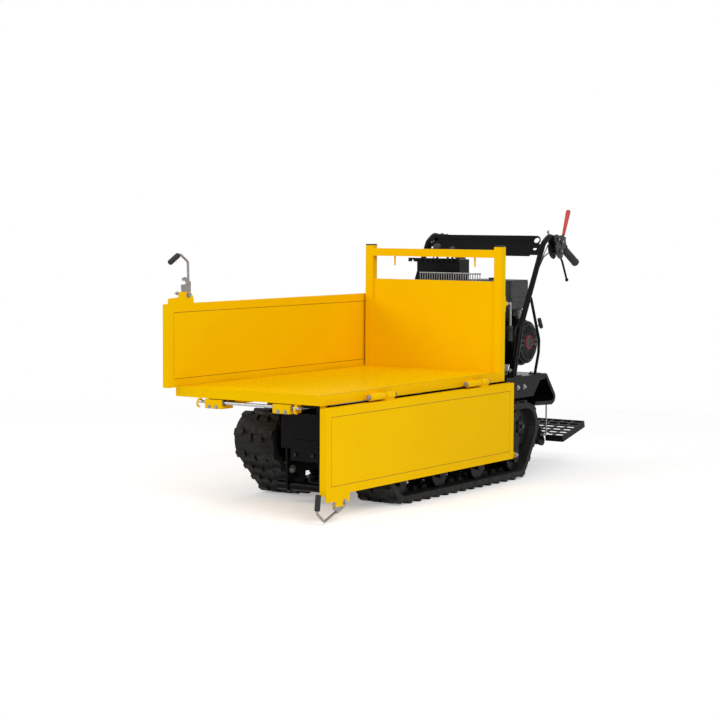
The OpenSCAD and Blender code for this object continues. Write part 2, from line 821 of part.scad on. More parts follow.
// Pressed tank: a profile along x cut to a rounded plan, with the seam flange round its middle
module fuel_tank() {
    r = 18;
    chamfer = 22;
    rim = 5;
    z1 = tank_z + tank_h;
    color(coat) {
        intersection() {
            slab_x(tank_x0, tank_x1) loop_area([
                [tank_y0 + r, tank_z + r, r], [tank_y1 - r, tank_z + r, r],
                [tank_y1 - r, z1 - r - chamfer, r], [tank_y1 - r - chamfer, z1 - r, r],
                [tank_y0 + r, z1 - r, r]]);
            translate([0, 0, tank_z]) linear_extrude(tank_h)
                soft_rect(tank_x0, tank_x1, tank_y0, tank_y1, 2 * r);
        }
        translate([0, 0, tank_z + tank_seam]) linear_extrude(16)
            soft_rect(tank_x0 - rim, tank_x1 + rim, tank_y0 - rim, tank_y1 + rim, 2 * r + rim);
        rod_z(52, z1 - 2, z1 + 8, (tank_x0 + tank_x1) / 2, crank_y);
    }
}

module air_cleaner() {
    color(coat) slab_x(10, 118)
        soft_rect(crank_y + 104 + gap, crank_y + 174, crank_z + 10, crank_z + 104, 18);
}

muffler_y0 = deck_y0 + 118;
muffler_x0 = -206;
muffler_x1 = -78;
module muffler() {
    color([0.32, 0.31, 0.3]) {
        slab_x(muffler_x0, muffler_x1)
            soft_rect(muffler_y0, muffler_y0 + 84, crank_z + 90, crank_z + 230, 30);
        rod_x(30, muffler_x1 - 1, -gap, crank_y - 100, crank_z + 90);
        rod_x(20, muffler_x0 - 30, muffler_x0 + 1, muffler_y0 + 40, crank_z + 120);
    }
}

// Wire guard in front of the muffler
module muffler_guard() {
    wire = 4;
    pitch = 11.5;
    bars = 25;
    y = muffler_y0 - wire / 2 - 3;
    x0 = -180;
    z0 = crank_z + 100;
    z1 = crank_z + 283;
    color(steel) {
        for (k = [0 : bars]) rod_z(wire, z0, z1, x0 + k * pitch, y);
        for (z = [z0, (z0 + z1) / 2, z1]) rod_x(wire + 2, x0 - 4, x0 + bars * pitch + 4, y, z);
        for (x = [muffler_x0 + 36, muffler_x1 - 20]) rod_y(8, y, muffler_y0 - gap, x, crank_z + 160);
    }
}

// Controls
gear_x = -180;
range_x = -105;
lever_y = tower_y0 + tower_d / 2;
gear_z = tower_z - 60;
gear_pin_d = 10;
ear_gap = 16;

module shift_tower() {
    step_at = deck_z + 270;
    in_y0 = tower_y0 + plate;
    in_y1 = tower_y0 + tower_d - plate;
    strip_x = tower_x0 - 40;
    strip_y = tower_y0 - 6;
    tooth = 16;
    tooth_pitch = 26;
    teeth = floor((tower_x2 - strip_x - tooth) / tooth_pitch);
    color(coat) {
        difference() {
            union() {
                box(tower_x0, tower_x1, tower_y0, tower_y0 + tower_d, deck_z, step_at);
                box(tower_x0, tower_x2, tower_y0, tower_y0 + tower_d, step_at, tower_z);
            }
            box(tower_x0 + plate, tower_x1 - plate, in_y0, in_y1, deck_z - 1, tower_z - gate_t);
            box(tower_x0 + plate, tower_x2 - plate, in_y0, in_y1, step_at + plate, tower_z - gate_t);
            for (x = [gear_x, range_x])
                box(x - 8, x + 8, lever_y - 26, lever_y + 26, tower_z - 10, tower_z + 1);
        }
        for (x = [gear_x, range_x], s = [-1, 1]) difference() {
            translate([x + s * (ear_gap + 3), 0, 0])
                box(-3, 3, lever_y - 14, lever_y + 14, gear_z - 14, tower_z - gate_t);
            rod_x(gear_pin_d + 2 * fit, x - 40, x + 40, lever_y, gear_z);
        }
        // Toothed gate strip along the top
        for (k = [0 : teeth])
            translate([strip_x + tooth_pitch * k, 0, 0])
                box(0, tooth, strip_y, tower_y0, tower_z - 12, tower_z);
        box(strip_x, tower_x2, strip_y, tower_y0, tower_z - 4, tower_z + 4);
    }
}

module shift_lever(x, rise, knob) {
    color(coat) {
        rod_x(gear_pin_d, x - ear_gap - 6, x + ear_gap + 6, lever_y, gear_z);
        rod_z(10, gear_z, tower_z + rise, x, lever_y);
        translate([x, lever_y, tower_z + rise]) sphere(d = knob);
    }
}

module gear_lever() { shift_lever(gear_x, 46, 38); }
module range_lever() { shift_lever(range_x, 40, 28); }

foot_plate = 6;
module handlebar_tubes() {
    path = rounded([bar_foot, bar_knee, bar_neck, bar_top, bar_fall, along(grip_b, -bar_slope, -6)], 46);
    x1 = bar_x - bar_d / 2;
    color(coat) both_sides() {
        sweep(at_x(bar_x, path), bar_d, 16);
        slab_x(x1 - foot_plate, x1 + 1) polygon([
            [bar_foot[0] - 26, deck_z], [bar_foot[0] + 40, deck_z],
            [bar_foot[0] + 46, deck_z + 86], [bar_foot[0] + 14, deck_z + 86]]);
        box(x1 - foot_plate - 24, deck_x - 4, bar_foot[0] - 26, bar_foot[0] + 40, deck_z, deck_z + 5);
    }
}

brace_d = 12;
module handlebar_braces() {
    tube_dir = unit(bar_neck - bar_knee);
    at = bar_knee + 148 * tube_dir;
    top = at - (bar_d / 2 + brace_d / 2 + gap) * left_of(tube_dir);
    knee = [deck_y0 + 310, deck_z + 140];
    foot = [deck_y0 + 278, deck_z + 3];
    color(coat) both_sides() {
        sweep(at_x(bar_x, rounded([top, knee, knee - [3, 54], foot], 24)), brace_d, 12);
        box(bar_x - 18, deck_x - 4, foot[0] - 22, foot[0] + 22, deck_z, deck_z + 4);
    }
}

// The console plate lies in the plane of the two tubes
console_h = 97;
console_x = 232;
module console_plate() {
    a = atan2(bar_neck[1] - bar_knee[1], bar_neck[0] - bar_knee[0]);
    start = along(bar_neck, a, -62);
    reach = bar_x - bar_d / 2 - gap;
    color(coat) translate([0, start[0], start[1]]) rotate([a, 0, 0]) translate([0, 0, -plate / 2])
        linear_extrude(plate) {
            translate([-console_x, 0]) square([2 * console_x, console_h]);
            for (s = [-1, 1]) {
                difference() {
                    union() {
                        translate([s * (console_x + 8), console_h - 24]) circle(24);
                        translate([s > 0 ? console_x : -reach, 6]) square([reach - console_x, 52]);
                    }
                    translate([s * (console_x + 14), console_h - 22]) circle(12);
                    translate([s * (console_x + 16), 34]) square([16, 10], center = true);
                }
            }
        }
}

// Pieces that sit on the sloping part of the handlebar: local z runs along the tube
module on_bar(p, slope) {
    translate([bar_x, p[0], p[1]]) rotate([-90 - slope, 0, 0]) children();
}

fall_a = atan2(bar_top[1] - bar_fall[1], bar_fall[0] - bar_top[0]);
module hand_grips() {
    color(rubber) both_sides() on_bar(grip_a, bar_slope) difference() {
        union() {
            cylinder(d = grip_d, h = grip_l);
            cylinder(d = grip_d + 10, h = 6);
        }
        translate([0, 0, -1]) cylinder(d = bar_d + 2 * fit, h = grip_l - 3);
    }
}

// Lever pivots on their clamps, in y and z
clamp_p = along(bar_top, -fall_a, 62);
throttle_p = along(bar_top, -fall_a, 34);
clutch_p = [bar_fall[0] + 4, bar_fall[1] + 36];
steer_p = [clamp_p[0] + 6, clamp_p[1] - 40];
pivot_pin_d = 8;
perch_t = 5;
perch_gap = 7;

module perch(p, q) {
    for (s = [-1, 1]) translate([bar_x + s * (perch_gap + perch_t / 2), 0, 0])
        slab_x(-perch_t / 2, perch_t / 2) difference() {
            union() {
                translate(p) circle(8);
                translate(q) circle(12);
                ribbon([p, q], -8, 8);
            }
            translate(p) circle(pivot_pin_d / 2 + fit);
        }
}

module lever_pin(p) {
    reach = perch_gap + perch_t;
    rod_x(pivot_pin_d, bar_x - reach, bar_x + reach, p[0], p[1]);
}

module lever_clamps() {
    color(coat) both_sides() {
        difference() {
            union() {
                on_bar(clamp_p, fall_a) cylinder(d = 40, h = 34);
                perch(steer_p, along(clamp_p, -fall_a, 12));
                perch(clutch_p, along(clamp_p, -fall_a, 42));
                on_bar(throttle_p, fall_a) cylinder(d = 34, h = 16);
            }
            on_bar(clamp_p, fall_a) translate([0, 0, -60]) cylinder(d = bar_d + 0.8, h = 140);
        }
    }
}

module clutch_lever() {
    a = 67;
    reach = 122;
    color(red) {
        lever_pin(clutch_p);
        translate([bar_x, clutch_p[0], clutch_p[1]]) rotate([a - 90, 0, 0]) {
            cylinder(d = 10, h = reach);
            translate([0, 0, 20]) cylinder(d1 = 13, d2 = 20, h = reach - 20);
            translate([0, 0, reach]) sphere(d = 20);
        }
    }
}

module steering_lever(side) {
    p = steer_p;
    path = rounded([p, [p[0] + 50, p[1] - 42], [p[0] + 96, p[1] - 124]], 40);
    tip = path[len(path) - 1];
    color(coat) on_side(side) {
        lever_pin(p);
        sweep(at_x(bar_x, path), 9, 12);
        translate([bar_x, tip[0], tip[1]]) sphere(d = 15);
    }
}

module throttle_lever() {
    p = along(throttle_p, -fall_a, 8);
    x = bar_x - 17 - gap;
    a = 118;
    color(steel) difference() {
        slab_x(x - 4, x) {
            translate(p) circle(9);
            ribbon([p, along(p, a, 34)], -4, 4);
            translate(along(p, a, 36)) circle(7);
        }
        translate([x - 5, along(p, a, 36)[0], along(p, a, 36)[1]]) rotate([0, 90, 0]) cylinder(d = 6, h = 6);
    }
}

// Control cables, held along the inner side of each handlebar tube
cable_d = 5;
cable_x = bar_x - bar_d / 2 - cable_d / 2 - gap;
module control_cables() {
    land = [cable_x - 26, bar_foot[0] + 74];
    color(rubber) both_sides() sweep(rounded([
        [bar_x - 4, clamp_p[0] - 1, clamp_p[1] - 26],
        [cable_x, bar_neck[0] + 30, bar_neck[1] - 58],
        [cable_x, bar_neck[0] - 50, bar_neck[1] - 146],
        [cable_x, bar_knee[0], bar_knee[1]],
        [land[0], land[1] - 4, deck_z + 90],
        [land[0], land[1], deck_z]], 18, 3), cable_d, 8);
}

// Step platform, drawn flat about its hinge and tilted to its slope
mesh_bar = 9;
module step_platform() {
    sx = step_w / 2;
    top = 22;
    cells_x = 12;
    cells_y = 5;
    depth = step_l / cos(step_slope) - 1;
    back = step_barrel_d / 2 + 4;
    arm_room = 3;
    notch = 64;
    color(coat) translate([0, step_y, step_z]) rotate([step_slope, 0, 0]) {
        rod_x(step_barrel_d, -arm_x + gap, arm_x - gap, 0, 0);
        rod_x(step_pin_d, -arm_x - arm_t, arm_x + arm_t, 0, 0);
        box(-arm_x + gap, arm_x - gap, 0, 12, 0, top);
        box(-arm_x + gap, arm_x - gap, 8, back + 4, top - step_skirt + 10, top);
        difference() {
            union() {
                difference() {
                    box(-sx, sx, back, depth, top - step_skirt, top);
                    box(-sx + plate, sx - plate, back + plate, depth - plate, top - step_skirt - 1, top + 1);
                }
                for (k = [1 : cells_x - 1])
                    translate([-sx + k * step_w / cells_x, 0, 0])
                        box(-mesh_bar / 2, mesh_bar / 2, back + 1, depth - 1, top - 7, top - 1);
                for (k = [1 : cells_y])
                    translate([0, back + k * (depth - back) / (cells_y + 1), 0])
                        box(-sx + 1, sx - 1, -mesh_bar / 2, mesh_bar / 2, top - 6, top);
            }
            // Room for the arms when the platform is folded up
            both_sides()
                box(arm_x - arm_room, arm_x + arm_t + arm_room, 0, notch, top - step_skirt - 1, top + 1);
        }
    }
}

bolt_d = 15;
bolt_h = 7;
module bolt_x(x, y, z, out = 1) {
    translate([out > 0 ? x : x - bolt_h, y, z]) rotate([0, 90, 0]) cylinder(d = bolt_d, h = bolt_h, $fn = 6);
}

module fasteners() {
    color(steel) {
        both_sides() {
            bolt_x(bar_x - bar_d / 2 - foot_plate - bolt_h, bar_foot[0] + 20, deck_z + 30);
            bolt_x(bar_x - bar_d / 2 - foot_plate - bolt_h, bar_foot[0] + 28, deck_z + 66);
            for (y = [bar_foot[0] - 14, bar_foot[0] + 30])
                translate([bar_x - 34, y, deck_z + 5]) cylinder(d = bolt_d, h = bolt_h, $fn = 6);
            bolt_x(beam_out + beam_t, idler_y, idler_z);
        }
        for (x = [apron_x0 + apron_bolt, apron_x1 - apron_bolt])
            translate([x, rail_y0 - 2 * plate, 184]) rotate([90, 0, 0]) cylinder(d = bolt_d, h = bolt_h, $fn = 6);
    }
}

// Bed
module bed_hinge(y) {
    rod_y(barrel_d, y, y + fixed_knuckle, hinge_x, hinge_z);
    box(half - sheet / 2, hinge_x, y, y + fixed_knuckle, hinge_z - 9, hinge_z + 9);
    rod_y(hinge_pin_d, y, y + fixed_knuckle + 2 * knuckle_gap + panel_knuckle, hinge_x, hinge_z);
    translate([hinge_x, y, hinge_z]) rotate([90, 0, 0]) cylinder(d = 17, h = 6, $fn = 6);
}

module bed_pan() {
    flange = 16;
    color(yellow) {
        box(-half, half, 0, bed_l, under, floor_z);
        box(-half, half, bed_l, bed_back, under, seat_z);
        both_sides() {
            box(half - sheet, half, 0, bed_back, lip_z, under);
            box(half - flange, half - sheet, 0, bed_back, lip_z, lip_z + sheet);
            for (y = hinge_ys) bed_hinge(y);
        }
        for (y = [0, bed_back - sheet]) box(-half + sheet, half - sheet, y, y + sheet, lip_z, under);
    }
}

latch_rod_y = 12;
latch_rod_z = lip_z - front_rod_d / 2 - 8;
ear_x = 150;
ear_x0 = ear_x - 37;
ear_x1 = ear_x + 37;
ear_y0 = latch_rod_y - 15;
ear_y1 = 68;
ear_z0 = latch_rod_z - 22;
ear_h = 33;
module bed_subframe() {
    cross_w = 40;
    cross_d = 28;
    sub_y0 = latch_rod_y + front_rod_d / 2 + 6;
    color(yellow) {
        both_sides() {
            box_tube_y(sub_x, sub_x + sub_w, sub_y0, bed_back - sheet, sub_z, under, sheet);
            difference() {
                union() {
                    rod_x(2 * ear_r, sub_x + ear_t, sub_x + sub_w, pivot_y, pivot_z);
                    box(sub_x + ear_t, sub_x + sub_w, pivot_y - ear_r, pivot_y + ear_r, pivot_z, sub_z + 1);
                }
                rod_x(pivot_d + 2 * fit, sub_x, sub_x + sub_w + 1, pivot_y, pivot_z);
            }
            // Folded brackets of the front latch rod
            for (x = [ear_x0, ear_x1 - 4]) slab_x(x, x + 4) difference() {
                translate([ear_y0, ear_z0]) square([ear_y1 - ear_y0, ear_h]);
                translate([latch_rod_y, latch_rod_z]) circle(front_rod_d / 2 + fit);
            }
            box(ear_x0, ear_x1, ear_y0, ear_y0 + 3, ear_z0, ear_z0 + ear_h);
            box(ear_x0, ear_x1, ear_y1 - 34, ear_y1, ear_z0, ear_z0 + 4);
            box(ear_x0, ear_x1, ear_y1 - 4, ear_y1, ear_z0, under);
        }
        for (y = [66, bed_l / 2, bed_l - 60])
            box(-half + sheet, half - sheet, y, y + cross_w, under - cross_d, under);
    }
}

post_z = floor_z + 272;
post_mid = half - post / 2;
post_boss = 30;
module headboard() {
    rail_top_z = post_top - rail_drop;
    board_y = bed_l + 8;
    wall = 3;
    color(yellow) {
        both_sides() {
            difference() {
                box(half - post, half, bed_l, bed_back, seat_z, post_top);
                box(half - post + wall, half - wall, bed_l + wall, bed_back - wall,
                    seat_z - 1, post_top + 1);
            }
            // Bracket and boss of the hanging latch lever
            difference() {
                union() {
                    box(half - post, half, bed_back, bed_back + 4, post_z - 30, post_z + 30);
                    rod_y(24, bed_back, bed_back + post_boss, post_mid, post_z);
                    box(post_mid - 2, post_mid + 2, bed_back, bed_back + post_boss, post_z - 26, post_z + 26);
                }
                rod_y(post_rod_d + 2 * fit, bed_back + 1, bed_back + post_boss + 1, post_mid, post_z);
            }
            rod_z(7, rail_top_z - rail_h - 38, rail_top_z - rail_h, 190, bed_l + 18);
        }
        difference() {
            box(-half + post, half - post, bed_l, bed_l + 26, rail_top_z - rail_h, rail_top_z);
            box(-half + post + 1, half - post - 1, bed_l + wall, bed_l + 27,
                rail_top_z - rail_h + wall, rail_top_z - wall);
        }
        box(-half + post, half - post, board_y, board_y + sheet, seat_z, floor_z + board_h);
        box(-half + post, half - post, board_y + sheet, bed_back,
            floor_z + board_h - sheet, floor_z + board_h);
    }
}

cap_h = 5;
module post_caps() {
    color(coat) both_sides() {
        box(half - post, half, bed_l, bed_back, post_top, post_top + cap_h);
        box(half - post + 4, half - 4, bed_l + 4, bed_back - 4, post_top - 14, post_top);
    }
}

// Side panel, drawn closed on the left side; it swings about the hinge axis
module swung(side, open) {
    on_side(side) translate([hinge_x, 0, hinge_z]) rotate([0, open, 0])
        translate([-hinge_x, 0, -hinge_z]) children();
}

module panel_ring(inset, x0, x1, t) {
    difference() {
        box(x0, x1, panel_y0 + inset, panel_y1 - inset, panel_z0 + inset, panel_z1 - inset);
        box(x0 - 1, x1 + 1, panel_y0 + inset + t, panel_y1 - inset - t,
            panel_z0 + inset + t, panel_z1 - inset - t);
    }
}

module latch_bracket() {
    h = [0, 20, 24, 31, 34, 43];
    slab_x(panel_x0, panel_x0 + latch_plate) difference() {
        translate([latch_y, panel_z1]) polygon([
            [-115, h[0]], [32, h[0]], [28, h[2]], [20, h[4]], [11, h[5]], [-76, h[5]],
            [-76, h[4]], [-54, h[3]], [-54, h[2]], [-115, h[1]]]);
        translate([latch_y, latch_z]) circle(latch_pin_d / 2 + fit);
    }
}

module side_panel(side, open) {
    x1 = panel_x0 + panel_t;
    seam = 2;
    ribs = 4;
    color(yellow) swung(side, open) {
        difference() {
            union() {
                box(panel_x0, panel_x0 + panel_wall, panel_y0, panel_y1, panel_z0, panel_z1);
                panel_ring(0, panel_x0, x1, panel_wall);
                panel_ring(panel_frame - panel_wall, panel_x0, x1, panel_wall);
                for (k = [1 : ribs])
                    translate([0, panel_y0 + k * panel_l / (ribs + 1), 0])
                        box(panel_x0, x1, -panel_wall, panel_wall,
                            panel_z0 + panel_frame - 1, panel_z1 - panel_frame + 1);
            }
            panel_ring(panel_frame, panel_x0 - 1, panel_x0 + panel_wall / 2, seam);
        }
        for (y = hinge_ys) difference() {
            y0 = y + fixed_knuckle + knuckle_gap;
            union() {
                rod_y(barrel_d, y0, y0 + panel_knuckle, hinge_x, hinge_z);
                box(hinge_x - 7, hinge_x + 7, y0, y0 + panel_knuckle, hinge_z, panel_z0 + 1);
            }
            rod_y(hinge_pin_d + 2 * fit, y0 - 1, y0 + panel_knuckle + 1, hinge_x, hinge_z);
        }
        latch_bracket();
        box(panel_x0 + 2, panel_x0 + 6, panel_y1 - 1, panel_y1 + 18, panel_z1 - 24, panel_z1 - 4);
        rod_x(9, panel_x0 - 6, panel_x0 + 16, panel_y1 + 10, panel_z1 - 14);
    }
}

module gate_latch(side, open, t) {
    x0 = panel_x0 + latch_plate + gap;
    pts = lever_pts(0);
    mouth = [-13, 45];
    color(steel) swung(side, open)
        translate([0, latch_y, latch_z]) rotate([t, 0, 0]) translate([0, -latch_y, -latch_z]) {
            rod_x(latch_pin_d, panel_x0 - 3, x0 + hook_t, latch_y, latch_z);
            // Plate with a hook that opens to the front
            translate([0, latch_y, latch_z]) slab_x(x0, x0 + hook_t) difference() {
                union() {
                    circle(14);
                    translate(mouth) circle(20);
                    polygon([[-30, 6], [0, -10], [20, -4], [20, 48], [mouth[0], 56], [-33, 36]]);
                }
                translate(mouth) circle(6.5);
                translate(mouth - [40, 6.5]) square([40, 13]);
            }
            line = [pts[0], pts[1], pts[2], along(pts[3], grip_a0, -4)];
            sweep(at_x(lever_x, rounded(line, 14)), lever_d, 12);
            rod_between(along(pts[2], grip_a0, 12), pts[3], lever_x, latch_grip_d);
        }
}

module rod_between(p, q, x, d) {
    translate([x, p[0], p[1]]) rotate([atan2(q[1] - p[1], q[0] - p[0]) - 90, 0, 0])
        cylinder(d = d, h = norm(q - p));
}

module post_latch(side) {
    y = bed_back + 74;
    drop = 94;
    grip = 58;
    color(steel) on_side(side) {
        rod_y(post_rod_d, bed_back + 2, y, post_mid, post_z);
        translate([post_mid, y, post_z]) sphere(d = post_rod_d);
        rod_z(post_rod_d, post_z - drop - grip, post_z, post_mid, y);
        rod_z(1.7 * post_rod_d, post_z - drop - grip, post_z - drop, post_mid, y);
    }
}

module front_latch_rod() {
    hook_r = 11;
    hook_w = 6;
    at = [latch_rod_y - 10, latch_rod_z - 4];
    color(steel) {
        rod_x(front_rod_d, -ear_x1 - 40, ear_x1 + 40, latch_rod_y, latch_rod_z);
        both_sides() slab_x(ear_x1 + 24, ear_x1 + 30) difference() {
            translate(at) circle(hook_r + hook_w);
            translate(at) circle(hook_r);
            translate(at - [0, 20]) square([40, 20]);
        }
    }
}

centred() chassis_frame();
centred() chassis_legs();
centred() front_cover();
centred() track_frame(1);  // track_frame_left
centred() track_frame(-1);  // track_frame_right
centred() rubber_track(1);  // rubber_track_left
centred() rubber_track(-1);  // rubber_track_right
centred() drive_sprocket(1);  // drive_sprocket_left
centred() drive_sprocket(-1);  // drive_sprocket_right
centred() idler_wheel(1);  // idler_wheel_left
centred() idler_wheel(-1);  // idler_wheel_right
for (i = [0 : roller_n - 1]) {
    centred() road_roller(1, i);
    centred() road_roller(-1, i);
}
centred() gearbox();
centred() gearbox_pulley();
centred() engine_pulley();
centred() drive_belt();
centred() engine_deck();
centred() rear_guard();
centred() engine_block();
centred() fan_housing();
centred() recoil_cover();
centred() starter_grip();
centred() fuel_tank();
centred() air_cleaner();
centred() muffler();
centred() muffler_guard();
centred() shift_tower();
centred() gear_lever();
centred() range_lever();
centred() handlebar_tubes();
centred() handlebar_braces();
centred() console_plate();
centred() hand_grips();
centred() lever_clamps();
centred() clutch_lever();
centred() steering_lever(1);  // steering_lever_left
centred() steering_lever(-1);  // steering_lever_right
centred() throttle_lever();
centred() control_cables();
centred() step_platform();
centred() platform_hook();
centred() fasteners();
centred() bed_pan();
centred() bed_subframe();
centred() headboard();
centred() post_caps();
centred() side_panel(1, left_panel_open);  // side_panel_left
centred() side_panel(-1, 0);  // side_panel_right
centred() gate_latch(1, left_panel_open, left_latch_turn);  // gate_latch_left
centred() gate_latch(-1, 0, 0);  // gate_latch_right
centred() post_latch(1);  // post_latch_left
centred() post_latch(-1);  // post_latch_right
centred() front_latch_rod();
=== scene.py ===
import bmesh
import bpy
import json
import math
from mathutils import Matrix, Vector

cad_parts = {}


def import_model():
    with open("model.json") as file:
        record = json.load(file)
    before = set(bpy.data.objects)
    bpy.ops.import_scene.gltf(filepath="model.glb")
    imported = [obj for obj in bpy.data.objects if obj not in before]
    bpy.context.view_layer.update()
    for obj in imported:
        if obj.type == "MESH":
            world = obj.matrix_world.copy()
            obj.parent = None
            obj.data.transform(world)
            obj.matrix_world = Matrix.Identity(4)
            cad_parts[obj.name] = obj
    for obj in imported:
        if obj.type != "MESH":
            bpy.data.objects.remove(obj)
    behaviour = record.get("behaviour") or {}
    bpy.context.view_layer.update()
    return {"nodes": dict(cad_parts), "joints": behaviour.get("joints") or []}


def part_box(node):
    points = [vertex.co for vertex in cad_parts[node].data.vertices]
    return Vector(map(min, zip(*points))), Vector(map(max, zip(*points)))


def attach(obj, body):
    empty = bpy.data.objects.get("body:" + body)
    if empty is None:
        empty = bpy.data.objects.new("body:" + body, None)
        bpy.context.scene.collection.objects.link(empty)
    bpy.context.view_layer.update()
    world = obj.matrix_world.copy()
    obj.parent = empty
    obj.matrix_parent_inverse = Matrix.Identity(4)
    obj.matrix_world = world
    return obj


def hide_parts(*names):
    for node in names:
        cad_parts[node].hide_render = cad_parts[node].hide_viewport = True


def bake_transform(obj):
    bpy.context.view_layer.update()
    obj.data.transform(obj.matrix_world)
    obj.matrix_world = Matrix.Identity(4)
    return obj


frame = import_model()
scene = bpy.context.scene
scene.view_settings.view_transform = "Standard"

JOINTS = {j["name"]: j for j in frame["joints"]}


def joint_mm(name):
    """A joint's place in millimetres in the row frame."""
    return [1000 * c for c in JOINTS[name]["pos_m"]]


# The tipping pivot's distance from the bed's front edge
PIVOT_Y = 352
MID_Y = PIVOT_Y - joint_mm("bed_tip")[1]


def P(x, y, z):
    """A point given in millimetres from the bed's front edge, in the row frame in metres."""
    return Vector((x, y - MID_Y, z)) / 1000


# Camera, as solved from points of the photograph
SENSOR_MM, LENS_MM, FAR_M = 36, 98.4, 100
CAMERA_AT = P(4155, -5580, 1073)
yaw, pitch, roll = math.radians(33.38), math.radians(4.24), math.radians(0.30)
forward = Vector((-math.sin(yaw) * math.cos(pitch), math.cos(yaw) * math.cos(pitch), -math.sin(pitch)))
right = forward.cross(Vector((0, 0, 1))).normalized()
up = right.cross(forward)
right, up = (math.cos(roll) * right + math.sin(roll) * up, math.cos(roll) * up - math.sin(roll) * right)
camera = bpy.data.objects.new("camera", bpy.data.cameras.new("camera"))
scene.collection.objects.link(camera)
camera.data.sensor_width = SENSOR_MM
camera.data.lens = LENS_MM
camera.data.clip_end = FAR_M
place = Matrix((right, up, -forward)).transposed().to_4x4()
place.translation = CAMERA_AT
camera.matrix_world = place
scene.camera = camera


# Materials
class Mat:
    """A node material with a principled shader, built up from small procedural layers."""

    def __init__(self, name):
        self.mat = bpy.data.materials.new(name)
        self.mat.use_nodes = True
        self.tree = self.mat.node_tree
        self.shader = self.tree.nodes["Principled BSDF"]
        self.coord = self.tree.nodes.new("ShaderNodeTexCoord").outputs["Object"]

    def node(self, kind, **inputs):
        n = self.tree.nodes.new(kind)
        for key, value in inputs.items():
            self.put(n, key, value)
        return n

    def put(self, n, key, value):
        """Sets or links a socket, called by its name with _ for a space, or by i and its number."""
        by_number = key[0] == "i" and key[1:].isdigit()
        socket = n.inputs[int(key[1:])] if by_number else n.inputs[key.replace("_", " ")]
        if isinstance(value, bpy.types.NodeSocket):
            self.tree.links.new(value, socket)
        else:
            socket.default_value = value

    def noise(self, scale, detail, rough=0.5, stretch=None):
        vector = self.coord
        if stretch:
            m = self.node("ShaderNodeMapping", Vector=vector)
            m.inputs["Scale"].default_value = stretch
            vector = m.outputs[0]
        n = self.node("ShaderNodeTexNoise", Vector=vector, Scale=scale, Detail=detail, Roughness=rough)
        return n.outputs["Fac"]

    def ramp(self, value, lo, hi, a=0.0, b=1.0):
        """Smooth step from a to b as the value goes from lo to hi."""
        m = self.node("ShaderNodeMapRange", Value=value)
        m.interpolation_type = "SMOOTHSTEP"
        for i, v in zip((1, 2, 3, 4), (lo, hi, a, b)):
            m.inputs[i].default_value = v
        return m.outputs[0]

    def mix(self, fac, a, b):
        m = self.node("ShaderNodeMix", i0=fac)
        m.data_type = "RGBA"
        for key, v in (("i6", a), ("i7", b)):
            self.put(m, key, v if isinstance(v, bpy.types.NodeSocket) else (*v[:3], 1))
        return m.outputs[2]

    def tone(self, scale, detail, a, b, rough=0.5, stretch=None):
        """Soft patches of two colours."""
        return self.mix(self.ramp(self.noise(scale, detail, rough, stretch), 0.3, 0.7), a, b)

    def math(self, op, a, b=0.0):
        m = self.node("ShaderNodeMath", i0=a, i1=b)
        m.operation = op
        return m.outputs[0]

    def bump(self, height, strength, distance, normal=None):
        b = self.node("ShaderNodeBump", Height=height, Strength=strength, Distance=distance)
        if normal is not None:
            self.put(b, "Normal", normal)
        return b.outputs[0]

    def far_from(self, point):
        d = self.node("ShaderNodeVectorMath", i0=self.coord)
        d.operation = "DISTANCE"
        d.inputs[1].default_value = point
        return d.outputs["Value"]

    def axis(self, i):
        return self.node("ShaderNodeSeparateXYZ", Vector=self.coord).outputs[i]

    def done(self, color, rough, normal=None, metallic=None, specular=0.5, ior=1.5):
        """Joins the layers to the shader and gives the material."""
        s = self.shader
        self.put(s, "Base Color", color)
        self.put(s, "Roughness", rough)
        if normal is not None:
            self.put(s, "Normal", normal)
        if metallic is not None:
            self.put(s, "Metallic", metallic)
        s.inputs["Specular IOR Level"].default_value = specular
        s.inputs["IOR"].default_value = ior
        return self.mat


def srgb(r, g, b):
    """Linear colour of an 8-bit display colour."""
    return tuple(((c / 255 + 0.055) / 1.055) ** 2.4 if c > 10 else c / 255 / 12.92 for c in (r, g, b))


# Bolts are black below this height; the latch rod is painted beyond this radius; the red sleeve begins
# this far from the clutch lever's pivot
APRON_TOP_M, HOOK_FROM_M, SLEEVE_FROM_M = 0.26, 0.0062, (0.0190, 0.0205)
YELLOW_A, YELLOW_B = srgb(249, 198, 0), srgb(247, 195, 0)
BLACK_A, BLACK_B = srgb(17, 17, 18), srgb(12, 12, 13)


def powder_layers(m, a, b, dust):
    """Colour, roughness and normal of powder coat: soft tone shifts, orange peel and a little dust."""
    tone = m.tone(5.0, 4, a, b)
    speck = m.ramp(m.noise(900, 1), 0.70, 0.86, 0, dust)
    color = m.mix(speck, tone, srgb(205, 200, 185))
    rough = m.ramp(m.noise(40, 3), 0.25, 0.75, 0.265, 0.285)
    normal = m.bump(m.noise(420, 2), 0.002, 0.002)
    normal = m.bump(m.noise(9, 2), 0.0012, 0.02, normal)
    return color, rough, normal


def yellow_paint():
    m = Mat("yellow_powder_coat")
    color, rough, normal = powder_layers(m, YELLOW_A, YELLOW_B, 0.015)
    return m.done(color, rough, normal, ior=1.06)


def black_coat(name="black_powder_coat", a=BLACK_A, b=BLACK_B, dust=0.12):
    m = Mat(name)
    color, rough, normal = powder_layers(m, a, b, dust)
    return m.done(color, rough, normal, specular=0.17, ior=1.3)


